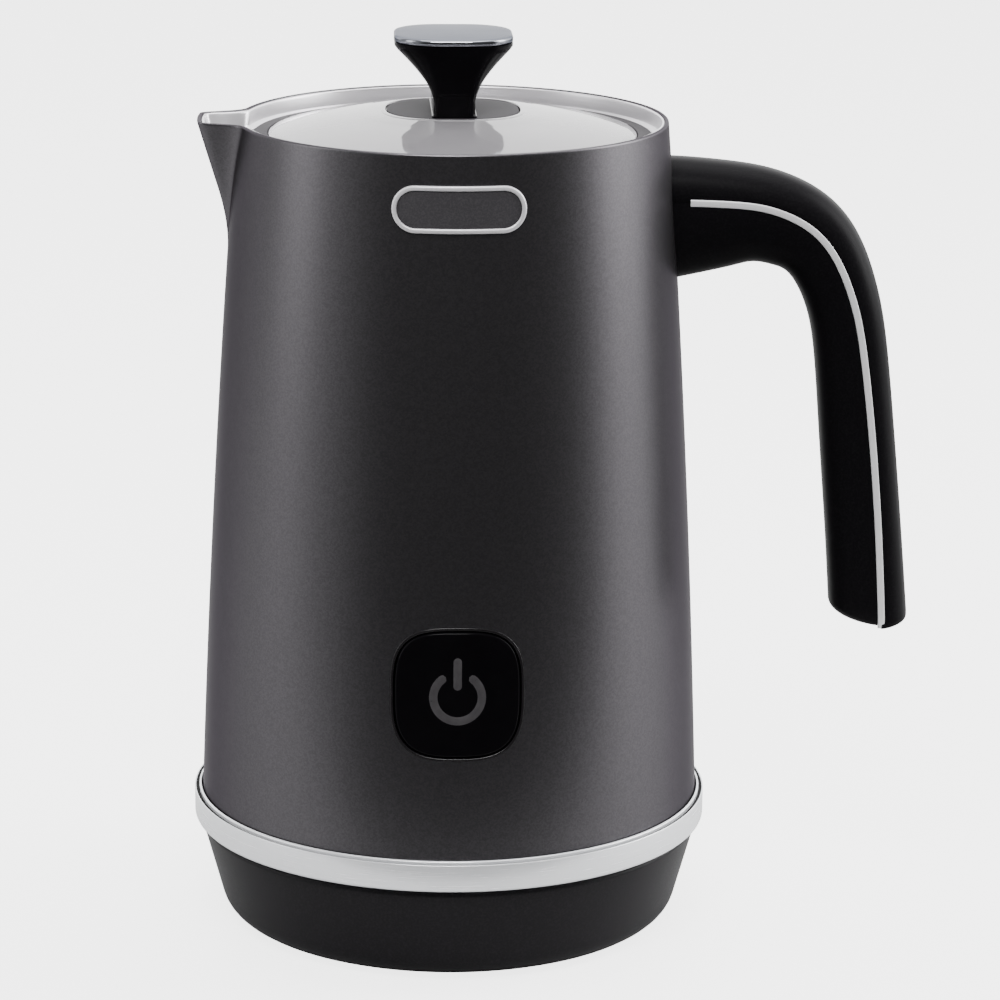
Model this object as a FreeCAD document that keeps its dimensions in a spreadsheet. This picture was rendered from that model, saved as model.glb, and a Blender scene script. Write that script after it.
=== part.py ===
import FreeCAD, Part
import math
import os
import re

import Sketcher

# Countertop milk frother: a heated, magnetically driven frothing jug on a round power base.
# Frame: +Z up, origin on the jug's vertical axis at the level of the table.  The spout points
# to -X, the handle to +X, the power button and the badge face -Y and the mains lead enters at +Y.

doc = FreeCAD.newDocument("milk_frother")
sheet = doc.addObject("Spreadsheet::Sheet", "dims")

# alias: (millimetres or degrees, what it is)
DIMENSIONS = {
    # power base
    "base_top_z": (24.3, "top edge and deck of the power base"),
    "base_top_radius": (59.9, "outer radius of the base at its top edge"),
    "base_low_z": (0.6, "lowest edge of the base shell, just above the table"),
    "base_foot_radius": (45.2, "radius where the bowl meets its flat underside"),
    "base_corner_radius": (12.6, "large radius round the foot of the bowl"),
    "base_flare": (9.4, "lean of the bowl's side from the vertical, degrees"),
    "base_wall": (2.4, "wall of the base shell"),
    "base_edge_round": (1.1, "round along the base's top edge"),
    "plate_radius": (43.6, "bottom plate of the base"),
    "plate_low_z": (0.9, "underside of the bottom plate"),
    "plate_thick": (2.4, "thickness of the bottom plate"),
    "foot_ring_inner": (35.0, "inner radius of the rubber foot ring"),
    "foot_ring_outer": (41.0, "outer radius of the rubber foot ring"),
    "foot_ring_thick": (2.0, "height of the rubber foot ring"),
    "base_boss_radius": (3.4, "screw boss inside the base"),
    "base_boss_circle": (29.0, "radius of the circle of screw bosses"),
    "gland_z": (12.0, "height of the lead's entry"),
    "gland_bore": (3.3, "radius of the hole for the lead"),
    "gland_radius": (4.9, "body of the gland"),
    "gland_flange_radius": (6.4, "outer flange of the gland"),
    "gland_inner_y": (50.0, "inner end of the gland"),
    "gland_outer_y": (60.4, "outer end of the gland"),
    "gland_flange_thick": (2.6, "flange thickness"),
    "clamp_length": (16.0, "cord clamp on the bottom plate"),
    "clamp_width": (6.0, "cord clamp on the bottom plate"),
    "clamp_height": (4.0, "cord clamp on the bottom plate"),
    "clamp_y": (38.0, "front edge of the cord clamp"),
    # screws that hold the base's bottom plate and the jug's bottom cover
    "case_screw_shank": (1.4, "shank radius"),
    "case_screw_head": (2.6, "head radius"),
    "case_screw_head_height": (1.5, "head height"),
    "base_screw_length": (11.0, "length of a base screw"),
    "cover_screw_length": (12.0, "length of a cover screw"),
    # round connector between base and jug
    "cup_radius": (12.9, "connector cup in the base"),
    "cup_bore": (10.3, "bore of the connector cup"),
    "cup_floor_z": (6.2, "underside of the cup"),
    "terminal_length": (5.0, "blade of a terminal under the cup"),
    "terminal_thick": (0.8, "blade of a terminal under the cup"),
    "terminal_height": (2.6, "blade of a terminal under the cup"),
    "tower_radius": (9.8, "connector tower that enters the jug"),
    "tower_low_z": (8.8, "underside of the tower"),
    "tower_top_z": (34.0, "top of the tower"),
    "pin_radius": (2.0, "centre pin of the tower"),
    "pin_top_z": (36.6, "top of the centre pin"),
    "deck_bore": (13.1, "hole in the base's deck"),
    "socket_bore": (10.9, "bore of the jug's socket"),
    "socket_radius": (13.5, "outer radius of the jug's socket"),
    "socket_top_z": (40.0, "top of the jug's socket"),
    # metal band round the foot of the jug
    "band_radius": (62.5, "outer radius of the bright band"),
    "band_low_z": (24.9, "lower edge of the bright band"),
    "band_top_z": (31.6, "upper edge of the bright band"),
    "band_inner": (60.9, "inside of the band, round the jug's wall"),
    "band_flange_inner": (59.0, "inner edge of the flange under the jug"),
    # painted jug wall
    "jug_low_z": (28.0, "lower edge of the painted wall"),
    "jug_low_radius": (60.65, "outer radius at the lower edge"),
    "rim_z": (196.5, "rim of the jug and mouth of the spout"),
    "rim_radius": (51.1, "outer radius at the rim"),
    "wall_arc": (3770.0, "radius of the gentle outward bow of the wall"),
    "jug_wall": (1.0, "thickness of the painted wall"),
    # spout
    "spout_tip": (59.2, "reach of the spout from the axis"),
    "spout_corner_x": (57.5, "where the side of the mouth turns into the nose"),
    "spout_corner_y": (8.9, "half width of the mouth behind the nose"),
    "spout_shoulder_x": (58.9, "where the corner meets the nose's flat arc"),
    "spout_shoulder_y": (6.4, "half width of the nose's flat arc"),
    "spout_turn_x": (58.45, "middle of the corner between side and nose"),
    "spout_turn_y": (8.1, "half width at that corner's middle"),
    "spout_root_x": (30.0, "where the mouth's sides end, inside the jug"),
    "spout_root_y": (18.5, "half width at that place"),
    "spout_apex_x": (51.2, "foot of the spout's ridge"),
    "spout_apex_z": (166.0, "height of the foot of the ridge"),
    # steel pot
    "pot_wall": (0.6, "sheet of the pot"),
    "pot_floor_z": (98.0, "inside of the pot's floor"),
    "pot_floor_radius": (46.0, "inside radius at the floor"),
    "pot_corner": (8.0, "radius between floor and wall"),
    "neck_radius": (47.65, "inside radius where the lid's seal sits"),
    "ledge_z": (192.2, "ledge above the seal"),
    "pot_rim_radius": (49.5, "inside radius at the rim"),
    # heating and drive
    "heater_inner": (17.0, "hole in the heater plate"),
    "heater_outer": (40.0, "edge of the heater plate"),
    "heater_thick": (4.0, "thickness of the heater plate"),
    "element_ring": (30.0, "radius of the heating element's ring"),
    "element_tube": (3.2, "radius of the heating element's tube"),
    "element_gap": (60.0, "angle left open in the heating element's ring, degrees"),
    "sensor_radius": (2.8, "temperature sensor"),
    "sensor_height": (4.5, "temperature sensor"),
    "sensor_x": (21.0, "place of the temperature sensor"),
    "cutout_radius": (4.4, "thermal cut-out"),
    "cutout_height": (5.0, "thermal cut-out"),
    "cutout_x": (21.6, "place of the thermal cut-out"),
    "leg_circle": (34.0, "radius of the circle of chassis legs"),
    "leg_radius": (3.6, "legs of the chassis"),
    "chassis_eye": (4.0, "hole for the shaft's bearing"),
    "chassis_z": (50.0, "underside of the chassis that carries the motor"),
    "chassis_thick": (3.0, "thickness of the chassis"),
    "chassis_radius": (40.0, "radius of the chassis"),
    "motor_radius": (14.0, "motor can"),
    "motor_height": (30.0, "length of the motor can"),
    "motor_wall": (1.4, "wall of the motor can"),
    "motor_screw_length": (5.2, "screws that hold the motor"),
    "motor_screw_shank": (1.2, "shank radius"),
    "motor_screw_head": (2.2, "head radius"),
    "motor_screw_head_height": (1.2, "head height"),
    "motor_screw_x": (9.0, "distance of these screws from the axis"),
    "stack_height": (20.0, "length of the armature and the field magnets"),
    "stack_gap": (5.0, "from the chassis to the armature"),
    "field_gap": (1.7, "gap between the armature and the field magnets"),
    "shaft_low_z": (53.5, "lower end of the shaft"),
    "shaft_radius": (1.0, "motor shaft"),
    "shaft_bore": (1.05, "bearing bore for the shaft"),
    "rotor_radius": (8.5, "armature"),
    "holder_radius": (14.0, "magnet holder"),
    "holder_low_z": (88.4, "underside of the magnet holder"),
    "holder_top_z": (96.6, "top of the magnet holder"),
    "magnet_radius": (3.0, "drive magnets"),
    "magnet_thick": (3.0, "drive magnets"),
    "magnet_circle": (7.4, "radius of the circle of magnets"),
    # control
    "board_side": (40.0, "width and height of the control board"),
    "board_thick": (1.6, "thickness of the control board"),
    "board_front_y": (46.0, "front face of the control board"),
    "board_low_z": (55.5, "lower edge of the control board"),
    "switch_side": (6.0, "width and height of the tact switch"),
    "switch_depth": (3.4, "depth of the tact switch"),
    "relay_width": (12.0, "relay"),
    "relay_depth": (8.0, "relay"),
    "relay_height": (15.0, "relay"),
    "relay_x": (19.0, "far side of the relay"),
    "relay_low_z": (58.0, "lower edge of the relay"),
    "capacitor_radius": (4.5, "capacitor"),
    "capacitor_length": (11.0, "capacitor"),
    "capacitor_x": (11.0, "axis of the capacitor"),
    "capacitor_z": (64.0, "axis of the capacitor"),
    "led_width": (2.0, "indicator light"),
    "led_depth": (1.0, "indicator light"),
    "led_height": (1.4, "indicator light"),
    "led_x": (9.0, "distance of the indicator lights from the middle"),
    # whisk
    "spindle_radius": (2.0, "steel spindle on the pot's floor"),
    "spindle_top_z": (107.5, "top of the spindle"),
    "hub_bore": (2.06, "bore of the whisk's hub"),
    "hub_radius": (11.0, "foot of the whisk's hub"),
    "hub_low_z": (98.9, "underside of the hub"),
    "hub_shoulder_z": (104.0, "shoulder of the hub"),
    "hub_neck_radius": (4.5, "neck of the hub"),
    "hub_top_z": (111.5, "top of the hub"),
    "collar_bore": (4.58, "bore of the whisk's collar"),
    "collar_radius": (6.6, "collar of the whisk"),
    "collar_low_z": (104.5, "underside of the collar"),
    "collar_top_z": (110.0, "top of the collar"),
    "whisk_ring": (19.0, "radius of the whisk's ring"),
    "coil_radius": (2.7, "radius of the coil round the ring"),
    "ring_tube": (1.2, "radius of the ring's wire"),
    "spoke_radius": (1.1, "radius of a spoke"),
    # button
    "button_z": (71.9, "middle of the power button"),
    "button_width": (30.0, "width of the button"),
    "button_height": (31.0, "height of the button"),
    "button_corner": (9.0, "corner radius of the button"),
    "button_gap": (0.4, "gap round the button"),
    "bezel_line": (1.2, "width of the bezel"),
    "button_thick": (2.6, "thickness of the button's cap"),
    "plunger_radius": (3.0, "plunger behind the button"),
    "plunger_length": (6.0, "plunger behind the button"),
    "plunger_front_y": (56.4, "front end of the plunger"),
    "peg_radius": (1.8, "pegs of the bezel that carry the control board"),
    "peg_length": (9.0, "pegs of the bezel"),
    "peg_x": (15.0, "distance of the pegs from the middle"),
    "peg_rise": (13.5, "height of the pegs over and under the button's middle"),
    "peg_front_y": (53.5, "front end of the pegs"),
    "icon_radius": (6.4, "outer radius of the power symbol"),
    "icon_line": (1.7, "line width of the power symbol"),
    # badge
    "badge_z": (184.1, "middle of the badge"),
    "badge_length": (30.6, "length of the badge"),
    "badge_height": (10.7, "height of the badge"),
    "badge_line": (1.1, "width of the badge's raised border"),
    # handle
    "handle_half_width": (9.5, "half width of the handle"),
    "strip_width": (1.7, "width of the bright strips"),
    "strip_depth": (1.2, "depth of the bright strips"),
    "handle_screw_length": (18.0, "screws from inside the jug into the handle"),
    "handle_screw_shank": (1.5, "shank radius"),
    "handle_screw_head": (2.6, "head radius"),
    "handle_screw_head_height": (1.3, "head height"),
    "upper_screw_x": (48.9, "head of the upper screw"),
    "upper_screw_z": (172.0, "height of the upper screw"),
    "lower_screw_x": (49.6, "head of the lower screw"),
    "lower_screw_z": (163.0, "height of the lower screw"),
    "bracket_thick": (1.6, "steel plate under the handle's screws"),
    "bracket_width": (16.0, "steel plate under the handle's screws"),
    "bracket_height": (24.0, "steel plate under the handle's screws"),
    "bracket_low_z": (156.0, "lower edge of that plate"),
    # lid
    "dome_radius": (160.0, "radius of the lid's dome"),
    "dome_apex_z": (199.38, "height that the dome would have in its middle"),
    "dome_edge": (43.4, "radius of the dome's edge"),
    "dome_thick": (2.2, "wall of the dome"),
    "skirt_low_z": (187.0, "lower edge of the lid's skirt"),
    "boss_radius": (15.7, "dark disc under the knob"),
    "boss_top_z": (198.6, "top of the dark disc"),
    "boss_low_z": (196.9, "underside of the dark disc"),
    "lid_middle_z": (194.9, "underside of the lid's thick middle"),
    "seal_radius": (47.4, "outer radius of the lid's seal"),
    # knob
    "knob_width": (28.4, "width of the knob along X"),
    "knob_depth": (28.0, "depth of the knob along Y"),
    "knob_corner": (7.5, "corner radius of the knob"),
    "knob_foot_half": (5.4, "half width of the post's foot"),
    "knob_waist_half": (4.85, "half width of the post's waist"),
    "knob_screw_length": (12.0, "screws from under the lid into the knob"),
    "knob_screw_shank": (1.5, "shank radius"),
    "knob_screw_head": (2.8, "head radius"),
    "knob_screw_head_height": (1.6, "head height"),
    "knob_screw_y": (7.0, "distance of these screws from the axis"),
    "post_top_z": (215.3, "top of the post"),
    "cap_top_z": (216.9, "top of the bright cap"),
}

for row, (alias, (size, note)) in enumerate(DIMENSIONS.items(), start=1):
    sheet.set(f"A{row}", note)
    sheet.set(f"B{row}", str(size))
    sheet.setAlias(f"B{row}", alias)
doc.recompute()

ALIAS_WORD = re.compile(r"[a-z][a-z0-9_]*")
NODES = {}


def bound(expression):
    """The expression with each alias written as a cell of the sheet."""
    return ALIAS_WORD.sub(lambda m: "dims." + m.group() if m.group() in DIMENSIONS else m.group(), expression)


def size_of(expression):
    """The value of an expression in the sheet's aliases, in millimetres or degrees."""
    found = sheet.evalExpression(str(expression))
    return float(getattr(found, "Value", found))


def node(name, obj):
    """Names a finished sub-part and keeps it for writing."""
    obj.Label = name
    NODES[name] = obj
    return obj


def add(kind, name, **sizes):
    """Adds a Part primitive or feature with its sizes bound to the sheet."""
    obj = doc.addObject(kind, name)
    for key, expression in sizes.items():
        obj.setExpression(key, bound(expression))
    return obj


def place(obj, x="0", y="0", z="0", direction=(0, 0, 1)):
    """Places an object, with its own Z turned to a direction."""
    turn = FreeCAD.Rotation(FreeCAD.Vector(0, 0, 1), FreeCAD.Vector(*direction))
    obj.Placement = FreeCAD.Placement(FreeCAD.Vector(0, 0, 0), turn)
    for key, expression in zip("xyz", (x, y, z)):
        obj.setExpression(f"Placement.Base.{key}", bound(str(expression)))
    return obj


def cylinder(name, radius, height, x="0", y="0", z="0", direction=(0, 0, 1)):
    """A cylinder standing at a place and pointing in a direction."""
    return place(add("Part::Cylinder", name, Radius=radius, Height=height), x, y, z, direction)


def box(name, length, width, height, x, y, z):
    """A box from its lowest corner."""
    return place(add("Part::Box", name, Length=length, Width=width, Height=height), x, y, z)


def cut(name, base, *tools):
    """The base with each tool taken away."""
    for count, tool in enumerate(tools):
        result = doc.addObject("Part::Cut", f"{name}_cut{count}")
        result.Base = base
        result.Tool = tool
        base = result
    return base


def fuse(name, *shapes):
    """Several shapes joined into one."""
    result = doc.addObject("Part::MultiFuse", f"{name}_fuse")
    result.Shapes = list(shapes)
    return result


def common(name, *shapes):
    """What several shapes share."""
    result = doc.addObject("Part::MultiCommon", f"{name}_common")
    result.Shapes = list(shapes)
    return result


def group(name, *shapes):
    """Several separate solids kept side by side in one node."""
    result = doc.addObject("Part::Compound", f"{name}_group")
    result.Links = list(shapes)
    return result


def ring(name, outer, inner, height, z):
    """A flat ring about the main axis."""
    return cut(name, cylinder(f"{name}_outer", outer, height, z=z),
               cylinder(f"{name}_inner", inner, f"({height}) + 2", z=f"({z}) - 1"))


def new_sketch(name, role):
    """A body and a sketch on one of its origin planes."""
    body = doc.addObject("PartDesign::Body", name)
    sketch = body.newObject("Sketcher::SketchObject", f"{name}_sketch")
    plane = next(item for item in body.Origin.OriginFeatures if item.Role == role)
    sketch.AttachmentSupport = [(plane, "")]
    sketch.MapMode = "FlatFace"
    return body, sketch


def pin_point(sketch, edge, end, u, v):
    """Fixes a sketch point at two expressions, measured from the sketch's origin."""
    for kind, axis, expression in (("DistanceX", -2, u), ("DistanceY", -1, v)):
        value = size_of(expression)
        if abs(value) < 1e-9:
            sketch.addConstraint(Sketcher.Constraint("PointOnObject", edge, end, axis))
        else:
            index = sketch.addConstraint(Sketcher.Constraint(kind, -1, 1, edge, end, value))
            sketch.setExpression(f"Constraints[{index}]", bound(expression))


def draw(sketch, outline):
    """Draws a closed outline in a sketch.

    outline is a list of (u, v) or (u, v, radius): with a radius, the edge that leaves the point
    is an arc of that radius, to the left of the way to the next point where it is positive and
    to the right where it is negative.
    """
    points = [FreeCAD.Vector(size_of(p[0]), size_of(p[1]), 0) for p in outline]
    count = len(points)
    ends = []
    for i, point in enumerate(outline):
        start, stop = points[i], points[(i + 1) % count]
        if len(point) == 2:
            edge = sketch.addGeometry(Part.LineSegment(start, stop), False)
            ends.append((edge, 1, 2))
            continue
        radius = size_of(point[2])
        chord = stop - start
        half = chord.Length / 2
        left = FreeCAD.Vector(-chord.y, chord.x, 0).normalize()
        reach = math.copysign(math.sqrt(radius * radius - half * half), radius)
        centre = (start + stop) * 0.5 - left * reach
        first, last = (stop, start) if radius > 0 else (start, stop)
        from_angle = math.atan2(first.y - centre.y, first.x - centre.x)
        to_angle = math.atan2(last.y - centre.y, last.x - centre.x)
        if to_angle < from_angle:
            to_angle += 2 * math.pi
        circle = Part.Circle(centre, FreeCAD.Vector(0, 0, 1), abs(radius))
        edge = sketch.addGeometry(Part.ArcOfCircle(circle, from_angle, to_angle), False)
        ends.append((edge, 2, 1) if radius > 0 else (edge, 1, 2))
        index = sketch.addConstraint(Sketcher.Constraint("Radius", edge, abs(radius)))
        text = point[2].lstrip("-")
        sketch.setExpression(f"Constraints[{index}]", bound(text))
    for i, point in enumerate(outline):
        edge, first, last = ends[i]
        following = ends[(i + 1) % count]
        sketch.addConstraint(Sketcher.Constraint("Coincident", edge, last, following[0], following[1]))
        pin_point(sketch, edge, first, point[0], point[1])


def turned(name, outline):
    """A body of revolution about the main axis, from an outline of (radius, height)."""
    body, sketch = new_sketch(name, "XZ_Plane")
    draw(sketch, outline)
    revolution = body.newObject("PartDesign::Revolution", f"{name}_revolution")
    revolution.Profile = sketch
    revolution.ReferenceAxis = (sketch, ["V_Axis"])
    revolution.Angle = 360
    body.Tip = revolution
    return body


def padded(name, role, outline, length, start="0"):
    """A body padded from an outline; start is where its first face stands along the normal."""
    body, sketch = new_sketch(name, role)
    sketch.setExpression("AttachmentOffset.Base.z", bound(start))
    draw(sketch, outline)
    pad = body.newObject("PartDesign::Pad", f"{name}_pad")
    pad.Profile = sketch
    pad.setExpression("Length", bound(length))
    body.Tip = pad
    return body


def rounded(body, radius, pick):
    """Rounds the edges of a body's tip that pick accepts."""
    doc.recompute()
    tip = body.Tip
    names = [f"Edge{i}" for i, edge in enumerate(tip.Shape.Edges, start=1) if pick(edge)]
    fillet = body.newObject("PartDesign::Fillet", f"{body.Name}_fillet")
    fillet.Base = (tip, names)
    fillet.setExpression("Radius", bound(radius))
    body.Tip = fillet
    return body


def rectangle(width, height, corner, middle="0"):
    """The outline of a rounded rectangle about (0, middle)."""
    w, h, c, m = f"({width}) / 2", f"({height}) / 2", f"({corner})", f"({middle})"
    return [
        (f"-{w} + {c}", f"{m} - {h}"), (f"{w} - {c}", f"{m} - {h}", f"-{c}"),
        (f"{w}", f"{m} - {h} + {c}"), (f"{w}", f"{m} + {h} - {c}", f"-{c}"),
        (f"{w} - {c}", f"{m} + {h}"), (f"-{w} + {c}", f"{m} + {h}", f"-{c}"),
        (f"-{w}", f"{m} + {h} - {c}"), (f"-{w}", f"{m} - {h} + {c}", f"-{c}"),
    ]


def screw(name, length, shank, head, head_height, x, y, z, direction=(0, 0, 1)):
    """A screw whose head starts at a place and whose shank points in a direction."""
    top = cylinder(f"{name}_head", head, head_height, x, y, z, direction)
    stem = cylinder(f"{name}_stem", shank, length, x, y, z, direction)
    return fuse(name, top, stem)


CASE_SCREW = ("case_screw_shank", "case_screw_head", "case_screw_head_height")


def around(count, start=0.0):
    """Evenly spaced angles in radians."""
    return [math.radians(start) + 2 * math.pi * i / count for i in range(count)]


def polar(radius, angle):
    """Two expressions for a place on a circle."""
    return f"({radius}) * {math.cos(angle):.6f}", f"({radius}) * {math.sin(angle):.6f}"


# ---------------------------------------------------------------- shapes that several parts share
def wall_body(name, inset, low="jug_low_z - 4", high="rim_z + 4"):
    """The filled form of the jug's wall, taken in by inset, from one height to another.

    The wall is an arc between the lower edge and the rim, so other heights follow the chord's
    slope, which differs from the arc by hundredths of a millimetre over those few millimetres.
    """
    slope = "(jug_low_radius - rim_radius) / (rim_z - jug_low_z)"
    return turned(name, [
        ("0", low),
        (f"jug_low_radius + (jug_low_z - ({low})) * {slope} - ({inset})", low, "-wall_arc"),
        (f"rim_radius - (({high}) - rim_z) * {slope} - ({inset})", high),
        ("0", high),
    ])


def beak(name, inset, top_extra):
    """A cone of the spout: the mouth's outline shrunk towards the foot of the ridge.

    inset takes the outline in for an inner wall, and top_extra lengthens the cone past the rim.
    The nose faces along X and moves by the whole inset, its shoulders and corners move sideways
    by the share of it that their slant gives, and the foot of the ridge moves in and up.
    """
    foot_in, foot_up = 0.4 * inset, 2.2 * inset
    apex = FreeCAD.Vector(-size_of("spout_apex_x") + foot_in, 0, size_of("spout_apex_z") + foot_up)
    rim = size_of("rim_z")
    corner_x, corner_y = size_of("spout_corner_x") - inset, size_of("spout_corner_y") - 0.9 * inset
    shoulder_x, shoulder_y = size_of("spout_shoulder_x") - inset, size_of("spout_shoulder_y") - 0.5 * inset
    root_x, root_y = size_of("spout_root_x"), size_of("spout_root_y") - inset
    tip_x = size_of("spout_tip") - inset
    turn_x, turn_y = size_of("spout_turn_x") - inset, size_of("spout_turn_y") - 0.7 * inset

    def mouth(scale):
        at = [apex + (FreeCAD.Vector(x, y, rim) - apex) * scale for x, y in (
            (-root_x, -root_y), (-corner_x, -corner_y), (-turn_x, -turn_y), (-shoulder_x, -shoulder_y),
            (-tip_x, 0), (-shoulder_x, shoulder_y), (-turn_x, turn_y), (-corner_x, corner_y),
            (-root_x, root_y))]
        return Part.Wire([
            Part.makeLine(at[0], at[1]),
            Part.Arc(at[1], at[2], at[3]).toShape(),
            Part.Arc(at[3], at[4], at[5]).toShape(),
            Part.Arc(at[5], at[6], at[7]).toShape(),
            Part.makeLine(at[7], at[8]),
            Part.makeLine(at[8], at[0]),
        ])

    height = rim - apex.z
    cone = doc.addObject("Part::Feature", name)
    cone.Shape = Part.makeLoft([mouth(0.02), mouth((height + top_extra) / height)], True, True)
    return cone


# ---------------------------------------------------------------- power base
bowl = turned("base_bowl", [
    ("deck_bore", "base_top_z"),
    ("deck_bore", "base_top_z - base_wall"),
    ("base_top_radius - base_wall - 0.5", "base_top_z - base_wall"),
    ("base_foot_radius + (base_corner_radius - base_wall) * cos(base_flare)",
     "base_low_z + base_corner_radius - (base_corner_radius - base_wall) * sin(base_flare)",
     "(base_corner_radius - base_wall)"),
    ("base_foot_radius", "base_low_z + base_wall"),
    ("plate_radius + 0.2", "base_low_z + base_wall"),
    ("plate_radius + 0.2", "base_low_z"),
    ("base_foot_radius", "base_low_z", "-base_corner_radius"),
    ("base_foot_radius + base_corner_radius * cos(base_flare)",
     "base_low_z + base_corner_radius - base_corner_radius * sin(base_flare)"),
    ("base_top_radius", "base_top_z"),
])

bowl = rounded(bowl, "base_edge_round", lambda edge: (
    abs(edge.BoundBox.ZMin - size_of("base_top_z")) < 0.01 and edge.BoundBox.ZLength < 0.01
    and edge.BoundBox.XMax > size_of("base_top_radius") - 0.1))

plate_top = "plate_low_z + plate_thick"
bosses = []
base_screws = []
for number, angle in enumerate(around(3, 30)):
    x, y = polar("base_boss_circle", angle)
    bosses.append(cylinder(f"base_boss{number}", "base_boss_radius",
                           f"base_top_z - base_wall / 2 - ({plate_top})", x, y, plate_top))
    base_screws.append(screw(f"base_screw{number}", "base_screw_length", *CASE_SCREW, x, y, "plate_low_z"))
base_screw_set = node("base_screws", group("base_screws", *base_screws))

gland_body = cylinder("gland_body", "gland_radius", "gland_outer_y - gland_inner_y",
                      y="gland_inner_y", z="gland_z", direction=(0, 1, 0))
gland_flange = cylinder("gland_flange", "gland_flange_radius", "gland_flange_thick",
                        y="gland_outer_y - gland_flange_thick", z="gland_z", direction=(0, 1, 0))
gland_solid = fuse("gland", gland_body, gland_flange)
gland_hole = cylinder("gland_hole", "gland_bore", "gland_outer_y - gland_inner_y + 4",
                      y="gland_inner_y - 2", z="gland_z", direction=(0, 1, 0))
node("cord_gland", cut("cord_gland", gland_solid, gland_hole))

foot_ring = node("rubber_foot_ring", ring("foot_ring", "foot_ring_outer", "foot_ring_inner",
                                          "foot_ring_thick", "0"))
bottom_disc = cylinder("bottom_disc", "plate_radius", "plate_thick", z="plate_low_z")
node("base_bottom_plate", cut("base_bottom_plate", bottom_disc, foot_ring, base_screw_set))
bowl_with_bosses = fuse("base_shell", bowl, *bosses)
node("base_shell", cut("base_shell", bowl_with_bosses, base_screw_set, gland_solid))

node("base_connector_cup", turned("connector_cup", [
    ("0", "cup_floor_z"), ("cup_radius", "cup_floor_z"), ("cup_radius", "base_top_z - base_wall - 2"),
    ("cup_radius + 5", "base_top_z - base_wall - 2"), ("cup_radius + 5", "base_top_z - base_wall"),
    ("cup_radius", "base_top_z - base_wall"), ("cup_radius", "base_top_z"), ("cup_bore", "base_top_z"),
    ("cup_bore", "cup_floor_z + 2"), ("0", "cup_floor_z + 2"),
]))
terminals = [box(f"terminal{i}", "terminal_length", "terminal_thick", "terminal_height",
                 f"{4 * step} - terminal_length / 2", f"{5 * step}", "cup_floor_z - terminal_height")
             for i, step in enumerate((-1, 0, 1))]
node("base_terminals", group("base_terminals", *terminals))
node("cord_clamp", box("cord_clamp", "clamp_length", "clamp_width", "clamp_height",
                       "-clamp_length / 2", "clamp_y", plate_top))

# ---------------------------------------------------------------- connector tower
node("connector_tower", turned("connector_tower", [
    ("0", "tower_low_z"), ("tower_radius", "tower_low_z"), ("tower_radius", "tower_top_z - 1.5"),
    ("tower_radius - 1.5", "tower_top_z"), ("pin_radius", "tower_top_z"), ("pin_radius", "tower_top_z - 8"),
    ("0", "tower_top_z - 8"),
]))
node("connector_pin", turned("connector_pin", [
    ("0", "tower_top_z - 8"), ("pin_radius", "tower_top_z - 8"), ("pin_radius", "pin_top_z - 1"),
    ("pin_radius - 1", "pin_top_z"), ("0", "pin_top_z"),
]))

# ---------------------------------------------------------------- jug: wall, band, cover, socket
node("foot_band", turned("foot_band", [
    ("band_flange_inner", "band_low_z"), ("band_radius - 0.6", "band_low_z"),
    ("band_radius", "band_low_z + 0.6"), ("band_radius", "band_top_z - 0.3"),
    ("band_radius - 0.3", "band_top_z"), ("band_radius - 0.75", "band_top_z"),
    ("band_radius - 0.9", "band_top_z - 0.6"), ("band_radius - 1.15", "band_top_z - 0.6"),
    ("band_radius - 1.2", "band_top_z + 0.5"), ("band_inner + 0.1", "band_top_z + 0.7"),
    ("band_inner", "band_top_z + 0.4"), ("band_inner", "band_low_z + 1.7"),
    ("band_flange_inner", "band_low_z + 1.7"),
]))

cover_low = "band_low_z + 0.2"
cover_top = "band_low_z + 2.7"
legs = []
cover_screws = []
for number, angle in enumerate(around(3, 90)):
    x, y = polar("leg_circle", angle)
    legs.append(cylinder(f"chassis_leg{number}", "leg_radius", f"chassis_z + 0.5 - ({cover_top})", x, y,
                         cover_top))
    cover_screws.append(screw(f"cover_screw{number}", "cover_screw_length", *CASE_SCREW, x, y, cover_low))
cover_screw_set = node("cover_screws", group("cover_screws", *cover_screws))
cover_body = turned("cover_body", [
    ("socket_radius + 0.1", cover_low), ("band_flange_inner - 0.1", cover_low),
    ("band_flange_inner - 0.1", "jug_low_z + 6"), ("band_flange_inner - 1.9", "jug_low_z + 6"),
    ("band_flange_inner - 1.9", cover_top), ("socket_radius + 0.1", cover_top),
])
node("jug_bottom_cover", cut("jug_bottom_cover", cover_body, cover_screw_set))
node("jug_socket", turned("jug_socket", [
    ("socket_bore", cover_low), ("socket_radius", cover_low), ("socket_radius", cover_top),
    ("socket_radius + 5", cover_top), ("socket_radius + 5", f"{cover_top} + 2"),
    ("socket_radius", f"{cover_top} + 2"), ("socket_radius", "socket_top_z"), ("0", "socket_top_z"),
    ("0", "socket_top_z - 2"), ("socket_bore", "socket_top_z - 2"),
]))

# ---------------------------------------------------------------- jug: button, badge and their holes
def prism(name, outline, reach):
    """A prism of an outline in X and Z, from the axis out through the front of the jug."""
    return padded(name, "XZ_Plane", outline, "75", reach)


def front_patch(name, form, outer, inner):
    """What a prism takes out of a layer of the jug's wall, between two offsets from its surface."""
    layer = cut(f"{name}_layer", wall_body(f"{name}_out", f"-({outer})"),
                wall_body(f"{name}_in", f"-({inner})"))
    return common(name, form, layer)


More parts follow.
